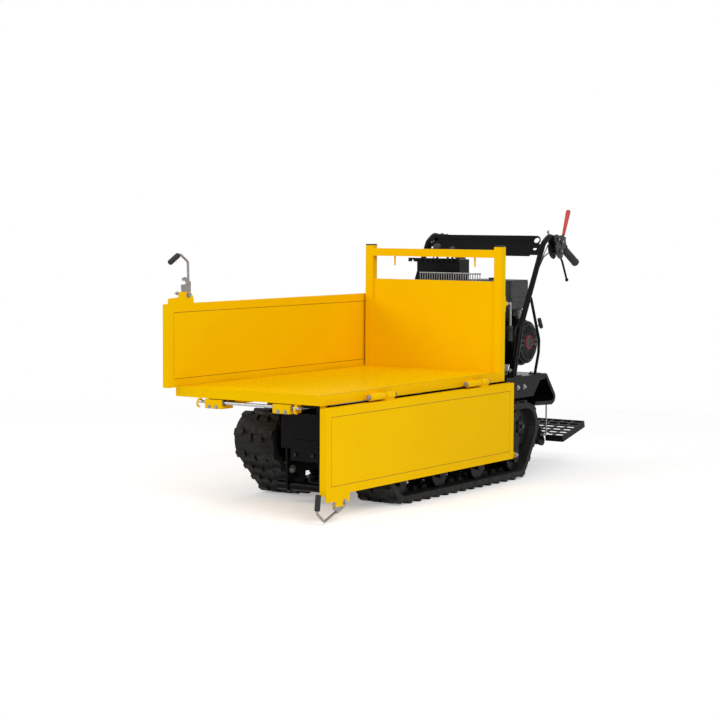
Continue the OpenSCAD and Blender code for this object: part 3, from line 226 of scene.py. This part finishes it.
def rubber():
    m = Mat("track_rubber")
    base = m.tone(14, 5, srgb(22, 22, 22), srgb(34, 34, 33))
    chalk = m.math("MULTIPLY", m.ramp(m.noise(120, 4, 0.7), 0.52, 0.74), m.ramp(m.noise(6, 2), 0.35, 0.65))
    color = m.mix(m.math("MULTIPLY", chalk, 0.5), base, srgb(70, 69, 67))
    normal = m.bump(m.noise(260, 5, 0.65), 0.25, 0.003)
    return m.done(color, m.ramp(m.noise(60, 3), 0.3, 0.7, 0.55, 0.78), normal, specular=0.2)


def soft_rubber():
    m = Mat("grip_rubber")
    color = m.tone(30, 4, srgb(30, 30, 31), srgb(42, 42, 43))
    normal = m.bump(m.noise(900, 2), 0.15, 0.001)
    return m.done(color, m.ramp(m.noise(80, 2), 0.3, 0.7, 0.5, 0.68), normal, specular=0.3)


def steel(name="zinc_steel", a=srgb(166, 166, 166), b=srgb(118, 117, 116), rough=(0.26, 0.46)):
    m = Mat(name)
    color = m.tone(60, 4, a, b, 0.6, (1, 6, 6))
    stain = m.ramp(m.noise(45, 5, 0.7), 0.60, 0.80, 0, 0.35)
    color = m.mix(stain, color, srgb(120, 112, 100))
    normal = m.bump(m.noise(700, 2, 0.5, (1, 5, 5)), 0.08, 0.001)
    return m.done(color, m.ramp(m.noise(90, 3), 0.25, 0.75, *rough), normal, metallic=0.9)


def fastener_steel():
    """Zinc bolts, with black ones low down on the apron."""
    m = Mat("fastener_steel")
    low = m.math("LESS_THAN", m.axis(2), APRON_TOP_M)
    zinc = m.tone(60, 4, srgb(176, 178, 180), srgb(128, 129, 132), 0.6, (1, 6, 6))
    dark = m.tone(60, 4, srgb(46, 46, 48), srgb(34, 34, 36))
    normal = m.bump(m.noise(700, 2, 0.5, (1, 5, 5)), 0.08, 0.001)
    rough = m.ramp(m.noise(90, 3), 0.25, 0.75, 0.3, 0.5)
    return m.done(m.mix(low, zinc, dark), rough, normal, metallic=0.9)


def cast_alloy():
    m = Mat("cast_alloy")
    color = m.tone(25, 5, srgb(150, 151, 152), srgb(104, 105, 107), 0.6)
    normal = m.bump(m.noise(520, 4, 0.6), 0.35, 0.0015)
    return m.done(color, m.ramp(m.noise(70, 3), 0.3, 0.7, 0.42, 0.62), normal, metallic=0.75)


def plastic(name, a, b, rough=(0.38, 0.55)):
    m = Mat(name)
    color = m.tone(12, 4, a, b)
    normal = m.bump(m.noise(1100, 2), 0.12, 0.0008)
    return m.done(color, m.ramp(m.noise(60, 3), 0.3, 0.7, *rough), normal, specular=0.35)


def heat_paint():
    m = Mat("heat_paint")
    base = m.tone(20, 5, srgb(52, 50, 48), srgb(76, 70, 64), 0.65)
    tint = m.ramp(m.noise(7, 3), 0.5, 0.75, 0, 0.5)
    color = m.mix(tint, base, srgb(96, 78, 58))
    rough = m.ramp(m.noise(90, 3), 0.3, 0.7, 0.5, 0.7)
    return m.done(color, rough, m.bump(m.noise(600, 4), 0.2, 0.001), metallic=0.4)


def latch_rod_steel():
    """Bare rod with painted hooks near its two ends."""
    m = Mat("latch_rod_steel")
    pos = JOINTS["front_latch_turn"]["pos_m"]
    dy, dz = m.math("SUBTRACT", m.axis(1), pos[1]), m.math("SUBTRACT", m.axis(2), pos[2])
    radius = m.math("SQRT", m.math("ADD", m.math("MULTIPLY", dy, dy), m.math("MULTIPLY", dz, dz)))
    hook = m.math("GREATER_THAN", radius, HOOK_FROM_M)
    grain = m.tone(70, 4, srgb(192, 194, 196), srgb(150, 152, 155), 0.6, (6, 1, 1))
    paint = m.tone(8, 4, YELLOW_A, YELLOW_B)
    color = m.mix(hook, grain, paint)
    metallic = m.math("SUBTRACT", 0.9, m.math("MULTIPLY", hook, 0.9))
    rough = m.ramp(m.noise(90, 3), 0.25, 0.75, 0.26, 0.42)
    return m.done(color, rough, m.bump(m.noise(600, 2), 0.06, 0.001), metallic=metallic)


def clutch_plastic():
    """Red sleeve on a dark lever root."""
    m = Mat("clutch_lever_sleeve")
    d = m.far_from(JOINTS["clutch_lever_press"]["pos_m"])
    sleeve = m.ramp(d, *SLEEVE_FROM_M)
    red = m.tone(20, 4, srgb(204, 70, 68), srgb(190, 56, 56))
    dark = m.tone(30, 4, srgb(38, 38, 40), srgb(26, 26, 28))
    normal = m.bump(m.noise(900, 2), 0.1, 0.0008)
    rough = m.ramp(m.noise(60, 3), 0.3, 0.7, 0.36, 0.5)
    return m.done(m.mix(sleeve, dark, red), rough, normal, specular=0.35)


MATS = {
    "yellow": yellow_paint(),
    "black": black_coat(),
    "wheel": black_coat("wheel_coat", srgb(36, 36, 37), srgb(24, 24, 25), 0.3),
    "rubber": rubber(),
    "grip": soft_rubber(),
    "steel": steel(),
    "bolt": steel("bolt_zinc", srgb(176, 178, 180), srgb(128, 129, 132), (0.3, 0.5)),
    "dark_bolt": steel("black_oxide", srgb(74, 74, 76), srgb(50, 50, 52), (0.34, 0.5)),
    "fastener": fastener_steel(),
    "alloy": cast_alloy(),
    "plastic": plastic("black_plastic", srgb(32, 32, 33), srgb(23, 23, 24)),
    "gloss": plastic("gloss_black", srgb(24, 24, 26), srgb(17, 17, 19), (0.2, 0.32)),
    # Painted shade: dark yellow for the strips that stand in for the shade in grooves and along the bed
    # floor's edges
    "seam": plastic("seam_shadow", srgb(140, 102, 0), srgb(118, 84, 0), (0.5, 0.7)),
    "red": plastic("ring_red", srgb(142, 30, 46), srgb(118, 24, 38), (0.32, 0.45)),
    "heat": heat_paint(),
    "latch_rod": latch_rod_steel(),
    "clutch": clutch_plastic(),
}

NODE_MATS = {
    "bed_pan": "yellow", "bed_subframe": "yellow", "headboard": "yellow",
    "side_panel_left": "yellow", "side_panel_right": "yellow",
    "rubber_track_left": "rubber", "rubber_track_right": "rubber",
    "hand_grips": "grip", "control_cables": "grip", "drive_belt": "grip",
    "gate_latch_left": "steel", "gate_latch_right": "steel", "post_latch_left": "steel",
    "post_latch_right": "steel", "front_latch_rod": "latch_rod", "platform_hook": "steel",
    "throttle_lever": "steel", "engine_pulley": "steel", "gearbox_pulley": "steel",
    "fasteners": "fastener", "muffler_guard": "bolt", "engine_block": "alloy", "gearbox": "alloy",
    "fuel_tank": "plastic", "recoil_cover": "plastic", "air_cleaner": "plastic",
    "starter_grip": "grip", "post_caps": "plastic", "gear_lever": "plastic", "range_lever": "plastic",
    "clutch_lever": "clutch", "muffler": "heat",
}
WHEELS = ("drive_sprocket", "idler", "road_roller")
SOFT = ("rubber_track", "bed_pan", "headboard", "side_panel", "bed_subframe", "engine_deck", "post_caps",
        "console", "shift_tower", "rear_guard", "front_cover", "chassis_frame")
SHARP_DEG = 32
SHEET_EDGE_M = 0.0009
RUBBER_EDGE_M = 0.0022
WELD_M = 0.00002


def soften(obj, width, angle=35):
    """Welds split corners and rounds the sharp edges a little, as folded and cast pieces are."""
    weld = obj.modifiers.new("weld", "WELD")
    weld.merge_threshold = WELD_M
    bevel = obj.modifiers.new("bevel", "BEVEL")
    bevel.width = width
    bevel.segments = 2
    bevel.limit_method = "ANGLE"
    bevel.angle_limit = math.radians(angle)
    bevel.use_clamp_overlap = True


for name, obj in frame["nodes"].items():
    kind = NODE_MATS.get(name)
    if kind is None:
        kind = "wheel" if name.startswith(WHEELS) else "black"
    obj.data.materials.clear()
    obj.data.materials.append(MATS[kind])
    if name.startswith(SOFT):
        soften(obj, RUBBER_EDGE_M if name.startswith("rubber_track") else SHEET_EDGE_M)


# Detail pieces
def ring_faces(rings, n):
    """Faces between rings of n points each, and the two ends."""
    faces = [(i * n + k, i * n + (k + 1) % n, (i + 1) * n + (k + 1) % n, (i + 1) * n + k)
             for i in range(rings - 1) for k in range(n)]
    return faces + [tuple(range(n - 1, -1, -1)), tuple((rings - 1) * n + k for k in range(n))]


class Shape:
    """Vertices and faces of one piece, gathered from turned, swept and bolted forms, in metres."""

    def __init__(self):
        self.v, self.f = [], []

    def add(self, verts, faces):
        k = len(self.v)
        self.v += [tuple(p) for p in verts]
        self.f += [tuple(i + k for i in face) for face in faces]
        return self

    def lathe(self, profile, origin, axis, n=32):
        """Turned form: (radius, height) pairs in millimetres along an axis."""
        turn = Vector((0, 0, 1)).rotation_difference(Vector(axis)).to_matrix()
        verts = []
        for r, h in profile:
            for k in range(n):
                a = 2 * math.pi * k / n
                verts.append(Vector(origin) + turn @ (Vector((r * math.cos(a), r * math.sin(a), h)) / 1000))
        return self.add(verts, ring_faces(len(profile), n))

    def hexagon(self, at, axis, across, height, spin=0.0):
        """Hexagon head with a turned-down top edge."""
        r = across / math.sqrt(3)
        turn = Vector((0, 0, 1)).rotation_difference(Vector(axis)).to_matrix()
        rings = [(r, 0), (r, 0.78 * height), (0.86 * r, height)]
        verts = [Vector(at) + turn @ (Vector((q * math.cos(a), q * math.sin(a), h)) / 1000)
                 for q, h in rings for a in [spin + math.pi * k / 3 for k in range(6)]]
        return self.add(verts, ring_faces(len(rings), 6))

    def bolt(self, at, axis, across=13, height=6, spin=0.3):
        """Hexagon head on a plain washer."""
        w = across * 0.82
        self.lathe([(w, -0.3), (w, 1.2), (w - 0.6, 1.7), (across * 0.4, 1.7)], at, axis, 24)
        return self.hexagon(Vector(at) + Vector(axis).normalized() * 0.0015, axis, across, height, spin)

    def tube(self, points, r, n=10):
        """Round rod through points in metres; r in millimetres."""
        pts = [Vector(p) for p in points]
        last = len(pts) - 1
        heads = [(pts[min(i + 1, last)] - pts[max(i - 1, 0)]).normalized() for i in range(len(pts))]
        side = heads[0].orthogonal().normalized()
        verts = []
        for p, t in zip(pts, heads):
            side = (side - t * side.dot(t)).normalized()
            other = t.cross(side)
            q = r / 1000
            verts += [p + q * (math.cos(2 * math.pi * k / n) * side + math.sin(2 * math.pi * k / n) * other)
                      for k in range(n)]
        return self.add(verts, ring_faces(len(pts), n))

    def block(self, lo, hi):
        """Box between two corners in metres."""
        (a, b, c), (d, e, f) = lo, hi
        v = [(x, y, z) for x in (a, d) for y in (b, e) for z in (c, f)]
        sides = [(0, 1, 3, 2), (4, 6, 7, 5), (0, 4, 5, 1), (2, 3, 7, 6), (0, 2, 6, 4), (1, 5, 7, 3)]
        return self.add(v, sides)

    def make(self, name, mat, body, slot, bevel=0.0, ride=True):
        """Turns the gathered form into a named piece on its body."""
        mesh = bpy.data.meshes.new(name)
        mesh.from_pydata(self.v, [], self.f)
        bm = bmesh.new()
        bm.from_mesh(mesh)
        bmesh.ops.recalc_face_normals(bm, faces=bm.faces)
        bm.to_mesh(mesh)
        bm.free()
        mesh.polygons.foreach_set("use_smooth", [True] * len(mesh.polygons))
        mesh.set_sharp_from_angle(angle=math.radians(SHARP_DEG))
        mesh.materials.append(MATS[mat])
        obj = bpy.data.objects.new(name, mesh)
        scene.collection.objects.link(obj)
        if bevel:
            soften(obj, bevel)
        if ride:
            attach(obj, body)
        return obj


# Each side's name and sign; how far its panel hangs open and its panel latch is turned at rest, in degrees
SIDES = (("left", 1), ("right", -1))
PANEL_OPEN, LATCH_TURN = (180, 0), (68, 0)
HINGE_X, _, HINGE_Z = joint_mm("side_panel_left_drop")
LEVER_X, LATCH_Y, LATCH_Z = joint_mm("gate_latch_right_turn")
LEVER_X, LATCH_Y = -LEVER_X, LATCH_Y + MID_Y
PANEL_X = HINGE_X - 13.5
BED_HALF_W, BED_FLOOR_Z = 322, 446
# Where the painted shade strips lie in each panel's groove, and their width, in millimetres
GROOVE_SHADE_Y, GROOVE_SHADE_Z, GROOVE_SHADE_W = (2, 1269), (470, 714), 2


def swing(p, side, open_deg):
    """A point of the closed left panel, in millimetres, swung open about the hinge and put on its side."""
    a = math.radians(open_deg)
    dx, dz = p[0] - HINGE_X, p[2] - HINGE_Z
    x = HINGE_X + dx * math.cos(a) + dz * math.sin(a)
    z = HINGE_Z - dx * math.sin(a) + dz * math.cos(a)
    return P(side * x, p[1], z)


def lever_end(turn, out):
    """The point, in y and z, that is so far out on the last leg of the cranked latch lever."""
    root, lean = math.hypot(17, 8), math.degrees(math.atan2(8, 17))
    y, z = LATCH_Y, LATCH_Z
    for angle, long in ((lean, root), (92, 113), (148.6, 56), (209, out)):
        a = math.radians(angle + turn)
        y, z = y + long * math.cos(a), z + long * math.sin(a)
    return y, z


def latch_grips():
    """Grips on the panel latch levers, and the bolts and pins on the panels' latch brackets."""
    grip_from, grip_to, ribs = 11, 64, 9
    for (name, side), open_deg, turn in zip(SIDES, PANEL_OPEN, LATCH_TURN):
        root = swing((LEVER_X, *lever_end(turn, grip_from)), side, open_deg)
        tip = swing((LEVER_X, *lever_end(turn, grip_to)), side, open_deg)
        axis = tip - root
        long = axis.length * 1000
        profile = [(5.2, -3), (8.8, -1.5), (10.3, 1), (10.3, 4), (9.8, 6)]
        for k in range(ribs):
            h = 8 + k * (long - 14) / ribs
            profile += [(9.8, h), (10.3, h + 1.2), (10.3, h + 3.0), (9.8, h + 4.2)]
        profile += [(10.3, long - 3), (10.1, long - 0.5), (8.6, long + 1.6)]
        profile += [(4.5, long + 2.4), (1.0, long + 2.6)]
        Shape().lathe(profile, root, axis, 28).make(
            "latch_grip_" + name, "grip", "gate_latch_" + name, "rubber")
        inwards = swing((PANEL_X - 1, 0, 600), side, open_deg) - swing((PANEL_X, 0, 600), side, open_deg)
        Shape().bolt(swing((PANEL_X, LATCH_Y, LATCH_Z), side, open_deg), inwards, 15, 6).make(
            "latch_bolt_" + name, "bolt", "gate_latch_" + name, "zinc_steel")
        Shape().bolt(swing((PANEL_X, LATCH_Y - 66, LATCH_Z + 7.5), side, open_deg), inwards, 9, 5).make(
            "bracket_bolt_" + name, "bolt", "side_panel_" + name, "zinc_steel")
        Shape().bolt(swing((PANEL_X - 6, 1309, HINGE_Z + 308), side, open_deg), inwards, 12, 7).make(
            "lock_pin_" + name, "bolt", "side_panel_" + name, "zinc_steel")


def post_grips():
    """Grips on the headboard latch levers, with their washers and bracket bolts."""
    ribs, pitch, washer = 6, 7.5, [(10, 0), (10, 1.6), (9.4, 2.2), (5.1, 2.2)]
    for name, side in SIDES:
        lo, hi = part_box("post_latch_" + name)
        x, y = (lo.x + hi.x) / 2, hi.y - 0.0085
        profile = [(4.6, 63), (7.2, 61), (9.2, 58), (9.3, 52)]
        for k in range(ribs):
            h = 48 - pitch * k
            profile += [(9.3, h), (8.9, h - 1.5), (8.9, h - 3), (9.3, h - 4.5)]
        profile += [(9.3, 2), (8.7, 0), (6.5, -1.2), (1.0, -1.6)]
        Shape().lathe(profile, (x, y, lo.z), (0, 0, 1), 28).make(
            "post_grip_" + name, "grip", "post_latch_" + name, "rubber")
        b = Shape().lathe(washer, P(side * 305, 1318, 718), (0, 1, 0), 24)
        for z in (695, 741):
            b.bolt(P(side * 314, 1292, z), (0, 1, 0), 8, 4)
        b.make("post_latch_bolts_" + name, "bolt", "bed", "zinc_steel")


def panel_seams():
    """Painted shade: dark strips in the groove round each panel's inner face, and along the edges of the
    bed floor.
    """
    (y0, y1), (z0, z1), w = GROOVE_SHADE_Y, GROOVE_SHADE_Z, GROOVE_SHADE_W
    strips = ((y0, y1, z0, z0 + w), (y0, y1, z1 - w, z1),
              (y0, y0 + w, z0 + w, z1 - w), (y1 - w, y1, z0 + w, z1 - w))
    for (name, side), open_deg in zip(SIDES, PANEL_OPEN):
        s = Shape()
        for front, back, low, high in strips:
            a = swing((PANEL_X + 0.5, front, low), side, open_deg)
            b = swing((PANEL_X + 1.2, back, high), side, open_deg)
            s.block([min(p) for p in zip(a, b)], [max(p) for p in zip(a, b)])
        s.make("panel_seam_" + name, "seam", "side_panel_" + name, "yellow_paint")
    # Painted shade along the two edges of the bed floor
    s = Shape()
    for side in (1, -1):
        x = sorted((side * (BED_HALF_W - 8.5), side * (BED_HALF_W - 4)))
        s.block(P(x[0], 3, BED_FLOOR_Z - 0.3), P(x[1], 1230, BED_FLOOR_Z + 0.12))
    s.make("floor_seams", "seam", "bed", "yellow_paint")


def hinge_bolts():
    """Bolt heads at both ends of each hinge pin."""
    hinges, front, back = (264, 950), -5.8, 166
    b = Shape()
    for side in (1, -1):
        for y in hinges:
            b.bolt(P(side * HINGE_X, y + front, HINGE_Z), (0, -1, 0), 12, 6, 0.1)
            b.bolt(P(side * HINGE_X, y + back, HINGE_Z), (0, 1, 0), 12, 6, 0.4)
    b.make("hinge_bolts", "bolt", "bed", "zinc_steel")


def front_rod_ends():
    """Rings and end caps of the front latch rod, and the bolts of its brackets."""
    rings, rod_end, bolts = (109, 191), 226.8, (136, 168)
    ring = [(11, -1.2), (11, 1.2), (10.4, 1.6), (6.2, 1.6)]
    cap = [(6.2, 0), (6.2, 3), (4.6, 4.4), (1, 4.6)]
    _, y, z = joint_mm("front_latch_turn")
    y += MID_Y
    b = Shape()
    for side in (1, -1):
        for x in rings:
            b.lathe(ring, P(side * x, y, z), (side, 0, 0), 28)
        b.lathe(cap, P(side * rod_end, y, z), (side, 0, 0), 24)
    b.make("front_rod_clips", "steel", "front_latch_rod", "zinc_steel")
    b = Shape()
    for side in (1, -1):
        for x in bolts:
            b.bolt(P(side * x, -3, 381), (0, -1, 0), 9, 4.5)
    b.make("front_bracket_bolts", "bolt", "bed", "zinc_steel")


def recoil_face():
    """Plain disc, red ring, ribs and screws on the recoil cover."""
    disc = [(25.2, -0.6), (25.2, 0.8), (24, 1.6), (15, 2.4), (1, 2.8)]
    ring = [(22.6, 0.2), (23.4, 2.2), (26.0, 2.8), (28.6, 2.0), (28.8, -2.5)]
    lo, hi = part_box("recoil_cover")
    y, z = (lo.y + hi.y) / 2, (lo.z + hi.z) / 2
    at = Vector((hi.x, y, z))
    Shape().lathe(disc, at, (1, 0, 0), 48).make("recoil_disc", "gloss", "chassis", "black_plastic")
    Shape().lathe(ring, at, (1, 0, 0), 48).make("recoil_ring", "red", "chassis", "red_plastic")
    big = 500 * (hi.z - lo.z)
    ribs, rib_count, screw_circle = Shape(), 32, 0.081
    for k in range(rib_count):
        a = 2 * math.pi * (k + 0.5) / rib_count
        d = Vector((0, math.cos(a), math.sin(a)))
        n = Vector((0, -math.sin(a), math.cos(a)))
        pts = [(33, -1.0), (36, 1.4), (big - 26, 1.4),
               (big - 14, -1.0), (big - 7, -6.5), (big - 0.8, -11)]
        verts = [at + d * r / 1000 + n * w / 1000 + Vector(((h - drop) / 1000, 0, 0))
                 for r, h in pts for w, drop in ((-1.6, 0), (1.6, 0), (1.6, 4), (-1.6, 4))]
        ribs.add(verts, ring_faces(len(pts), 4))
    ribs.make("recoil_ribs", "plastic", "chassis", "black_plastic")
    b = Shape()
    for k in range(3):
        a = math.radians(50 + 120 * k)
        spot = Vector((-0.010, screw_circle * math.cos(a), screw_circle * math.sin(a)))
        b.bolt(at + spot, (1, 0, 0), 8, 5)
    b.make("recoil_bolts", "bolt", "chassis", "zinc_steel")


def starter_rope():
    """Rope from the cover's eyelet to the grip, and the eyelet."""
    d = Vector(JOINTS["starter_grip_pull"]["axis"])
    root, parts = P(240, 1602, 547), 24
    start, end = root + d * 0.0890, root + d * 0.1460
    pts = [start + (end - start) * k / parts for k in range(parts + 1)]
    obj = Shape().tube(pts, 2.3, 10).make("starter_rope", "grip", "chassis", "rubber", ride=False)
    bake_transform(obj)
    Shape().lathe([(8, -2), (8, 2.5), (6.5, 5), (3.2, 6)], start - d * 0.002, d, 28).make(
        "rope_eyelet", "steel", "chassis", "zinc_steel")


def hub_caps():
    """Plate and nuts on each sprocket's hub."""
    face, nuts, nut_circle = 0.060, 5, 0.022
    for name, side in SIDES:
        node = "drive_sprocket_" + name
        at = Vector(JOINTS[node + "_spin"]["pos_m"]) + Vector((side * face, 0, 0))
        Shape().lathe([(30, -1), (30, 3), (27, 5), (16, 5)], at, (side, 0, 0), 36).make(
            "hub_plate_" + name, "wheel", node, "cast_wheel")
        b = Shape()
        for k in range(nuts):
            a = 2 * math.pi * k / nuts
            spot = Vector((side * 0.005, nut_circle * math.cos(a), nut_circle * math.sin(a)))
            b.hexagon(at + spot, (side, 0, 0), 8, 4)
        b.bolt(at + Vector((side * 0.004, 0, 0)), (side, 0, 0), 19, 10)
        b.make("hub_nuts_" + name, "dark_bolt", node, "cast_wheel")


def deck_bolts():
    """Bolts of the handlebar feet, the deck's sides, the guard's top and the legs."""
    feet, deck_sides = ((1469, 446), (1477, 478), (1429, 440)), (1440, 1493)
    guard_top, leg = (1604, 1640), (374, 124)
    b = Shape()
    for side in (1, -1):
        for y, z in feet:
            b.bolt(P(side * 269.5, y, z), (side, 0, 0), 12, 6)
        for y in deck_sides:
            b.bolt(P(side * 300, y, 372), (side, 0, 0), 13, 6)
        for y in guard_top:
            b.bolt(P(side * 272, y, 420), (0, 0, 1), 10, 5)
        b.bolt(P(side * 70, *leg), (-side, 0, 0), 20, 9)
    b.make("deck_bolts", "bolt", "chassis", "zinc_steel")


def lever_housings():
    """Moulded cheeks on both sides of the lever perches, with their screws and a thin throttle cable."""
    outline = [(1746, 976), (1752, 988), (1768, 993), (1790, 987), (1812, 989), (1834, 978), (1848, 962),
               (1852, 946), (1846, 934), (1828, 928), (1824, 910), (1820, 896), (1806, 888), (1790, 892),
               (1776, 902), (1762, 922), (1756, 944), (1764, 956), (1748, 966)]
    knots = [(1762, 958), (1748, 946), (1730, 926), (1712, 904), (1694, 880), (1676, 856), (1660, 832),
             (1646, 806)]
    bosses = ((1800.6, 922.7, 13), (1812, 962, 15), (1777, 972, 11))
    for name, side in SIDES:
        cheeks, screws = Shape(), Shape()
        for ends in ((293, 300), (260, 267)):
            verts = [P(side * x, y, z) for x in ends for y, z in outline]
            cheeks.add(verts, ring_faces(2, len(outline)))
        for y, z, r in bosses:
            cheeks.lathe([(r, -1), (r, 3), (r - 2, 4.5), (2, 4.5)], P(side * 300, y, z), (side, 0, 0), 28)
            screws.hexagon(P(side * 304, y, z), (side, 0, 0), 8, 4, 0.4)
        cheeks.make("lever_housing_" + name, "plastic", "chassis", "black_coat", bevel=0.0022)
        screws.make("housing_screws_" + name, "bolt", "chassis", "zinc_steel")
        Shape().tube([P(side * (266 - 0.2 * k), y, z) for k, (y, z) in enumerate(knots)], 1.8, 8).make(
            "throttle_cable_" + name, "grip", "chassis", "rubber")


def carburettor():
    """Carburettor body, float bowl and linkage, seen between the tank and the fan housing."""
    c = Shape()
    c.block(P(188, 1596, 652), P(214, 1640, 678))
    c.lathe([(15, 0), (17, 3), (17, 16), (13, 20), (2, 21)], P(203, 1618, 653), (0, 0, -1), 28)
    c.lathe([(13, 0), (13, 22), (11, 24), (2, 24)], P(201, 1640, 665), (0, 1, 0), 24)
    c.make("carburettor", "alloy", "chassis", "cast_alloy", bevel=0.0015)
    k = Shape()
    k.tube([P(216, 1600, 676), P(218, 1622, 680), P(216, 1650, 676), P(210, 1668, 668)], 2, 8)
    k.bolt(P(214, 1606, 666), (1, 0, 0), 9, 5)
    k.bolt(P(214, 1630, 658), (1, 0, 0), 9, 5)
    k.make("carburettor_linkage", "steel", "chassis", "zinc_steel")


def hand_grips():
    """Ribbed grips in place of the plain CAD ones."""
    droop, ribs, pitch = math.radians(-28.4), 14, 8.2
    d = Vector((0, math.cos(droop), math.sin(droop)))
    for name, side in SIDES:
        root = P(side * 280, 1850 + 4 * math.cos(droop), 938 + 4 * math.sin(droop))
        profile = [(12.2, 0), (20.5, 0), (21.6, 1.2), (21.6, 4.4), (20.5, 5.8), (17.2, 7)]
        for k in range(ribs):
            h = 12 + pitch * k
            profile += [(16.5, h), (15.6, h + 1.2), (15.6, h + 2.6), (16.5, h + 3.8)]
        profile += [(16.5, 132), (17.4, 134), (17.4, 137), (15.5, 139.4), (9, 140.4), (1, 140.6)]
        obj = Shape().lathe(profile, root, d, 32).make("hand_grip_" + name, "grip", "chassis", "rubber")
        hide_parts("hand_grips")


latch_grips()
post_grips()
panel_seams()
hinge_bolts()
front_rod_ends()
recoil_face()
starter_rope()
hub_caps()
deck_bolts()
lever_housings()
carburettor()
hand_grips()


# Floor, world and lamps
FLOOR_HALF_M, FLOOR_GLOW, FLOOR_FADE_M = 9.0, 0.33, (1.6, 4.0)
WORLD_LIGHT, BACKDROP_LIGHT = 0.44, 1.0


def seen(tree):
    """1 for rays that see the backdrop, directly or in gloss; 0 for rays that only light the object."""
    path = tree.nodes.new("ShaderNodeLightPath")
    value = path.outputs["Is Camera Ray"]
    for kind in ("Is Glossy Ray", "Is Transmission Ray"):
        most = tree.nodes.new("ShaderNodeMath")
        most.operation = "MAXIMUM"
        tree.links.new(value, most.inputs[0])
        tree.links.new(path.outputs[kind], most.inputs[1])
        value = most.outputs[0]
    return value


def floor():
    mesh = bpy.data.meshes.new("floor")
    s = FLOOR_HALF_M
    mesh.from_pydata([(-s, -s, 0), (s, -s, 0), (s, s, 0), (-s, s, 0)], [], [(0, 1, 2, 3)])
    obj = bpy.data.objects.new("floor", mesh)
    scene.collection.objects.link(obj)
    m = Mat("floor_paper")
    paper = m.tone(3, 3, (0.92, 0.92, 0.92), (0.90, 0.90, 0.90))
    m.done(paper, 0.9)
    m.shader.inputs["Emission Color"].default_value = (1, 1, 1, 1)
    m.put(m.shader, "Emission Strength", m.math("MULTIPLY", seen(m.tree), FLOOR_GLOW))
    out = m.tree.nodes["Material Output"]
    away = m.ramp(m.far_from((0, 0, 0)), *FLOOR_FADE_M)
    clear = m.tree.nodes.new("ShaderNodeBsdfTransparent")
    both = m.tree.nodes.new("ShaderNodeMixShader")
    m.tree.links.new(away, both.inputs[0])
    m.tree.links.new(m.shader.outputs[0], both.inputs[1])
    m.tree.links.new(clear.outputs[0], both.inputs[2])
    m.tree.links.new(both.outputs[0], out.inputs["Surface"])
    obj.data.materials.append(m.mat)


def world():
    w = bpy.data.worlds.new("studio")
    scene.world = w
    w.use_nodes = True
    t = w.node_tree
    back = t.nodes["Background"]
    back.inputs["Color"].default_value = (1.0, 0.99, 0.98, 1)
    back.inputs["Strength"].default_value = WORLD_LIGHT
    white = t.nodes.new("ShaderNodeBackground")
    white.inputs["Color"].default_value = (1, 1, 1, 1)
    white.inputs["Strength"].default_value = BACKDROP_LIGHT
    mix = t.nodes.new("ShaderNodeMixShader")
    t.links.new(seen(t), mix.inputs[0])
    t.links.new(back.outputs[0], mix.inputs[1])
    t.links.new(white.outputs[0], mix.inputs[2])
    t.links.new(mix.outputs[0], t.nodes["World Output"].inputs["Surface"])


def lamp(name, at, to, size, watts):
    data = bpy.data.lights.new(name, "AREA")
    data.shape = "RECTANGLE"
    data.size, data.size_y = size
    data.energy = watts
    obj = bpy.data.objects.new(name, data)
    scene.collection.objects.link(obj)
    obj.location = at
    obj.rotation_mode = "QUATERNION"
    obj.rotation_quaternion = (Vector(to) - Vector(at)).to_track_quat("-Z", "Y")


floor()
world()
lamp("key", (3.8, -2.8, 3.3), (0, 0, 0.5), (2.6, 2.0), 116)
lamp("fill", (-3.2, -3.0, 2.6), (0, 0, 0.5), (2.6, 2.0), 66)
lamp("top", (0.2, 0.4, 4.2), (0, 0, 0.4), (3.0, 3.0), 28)
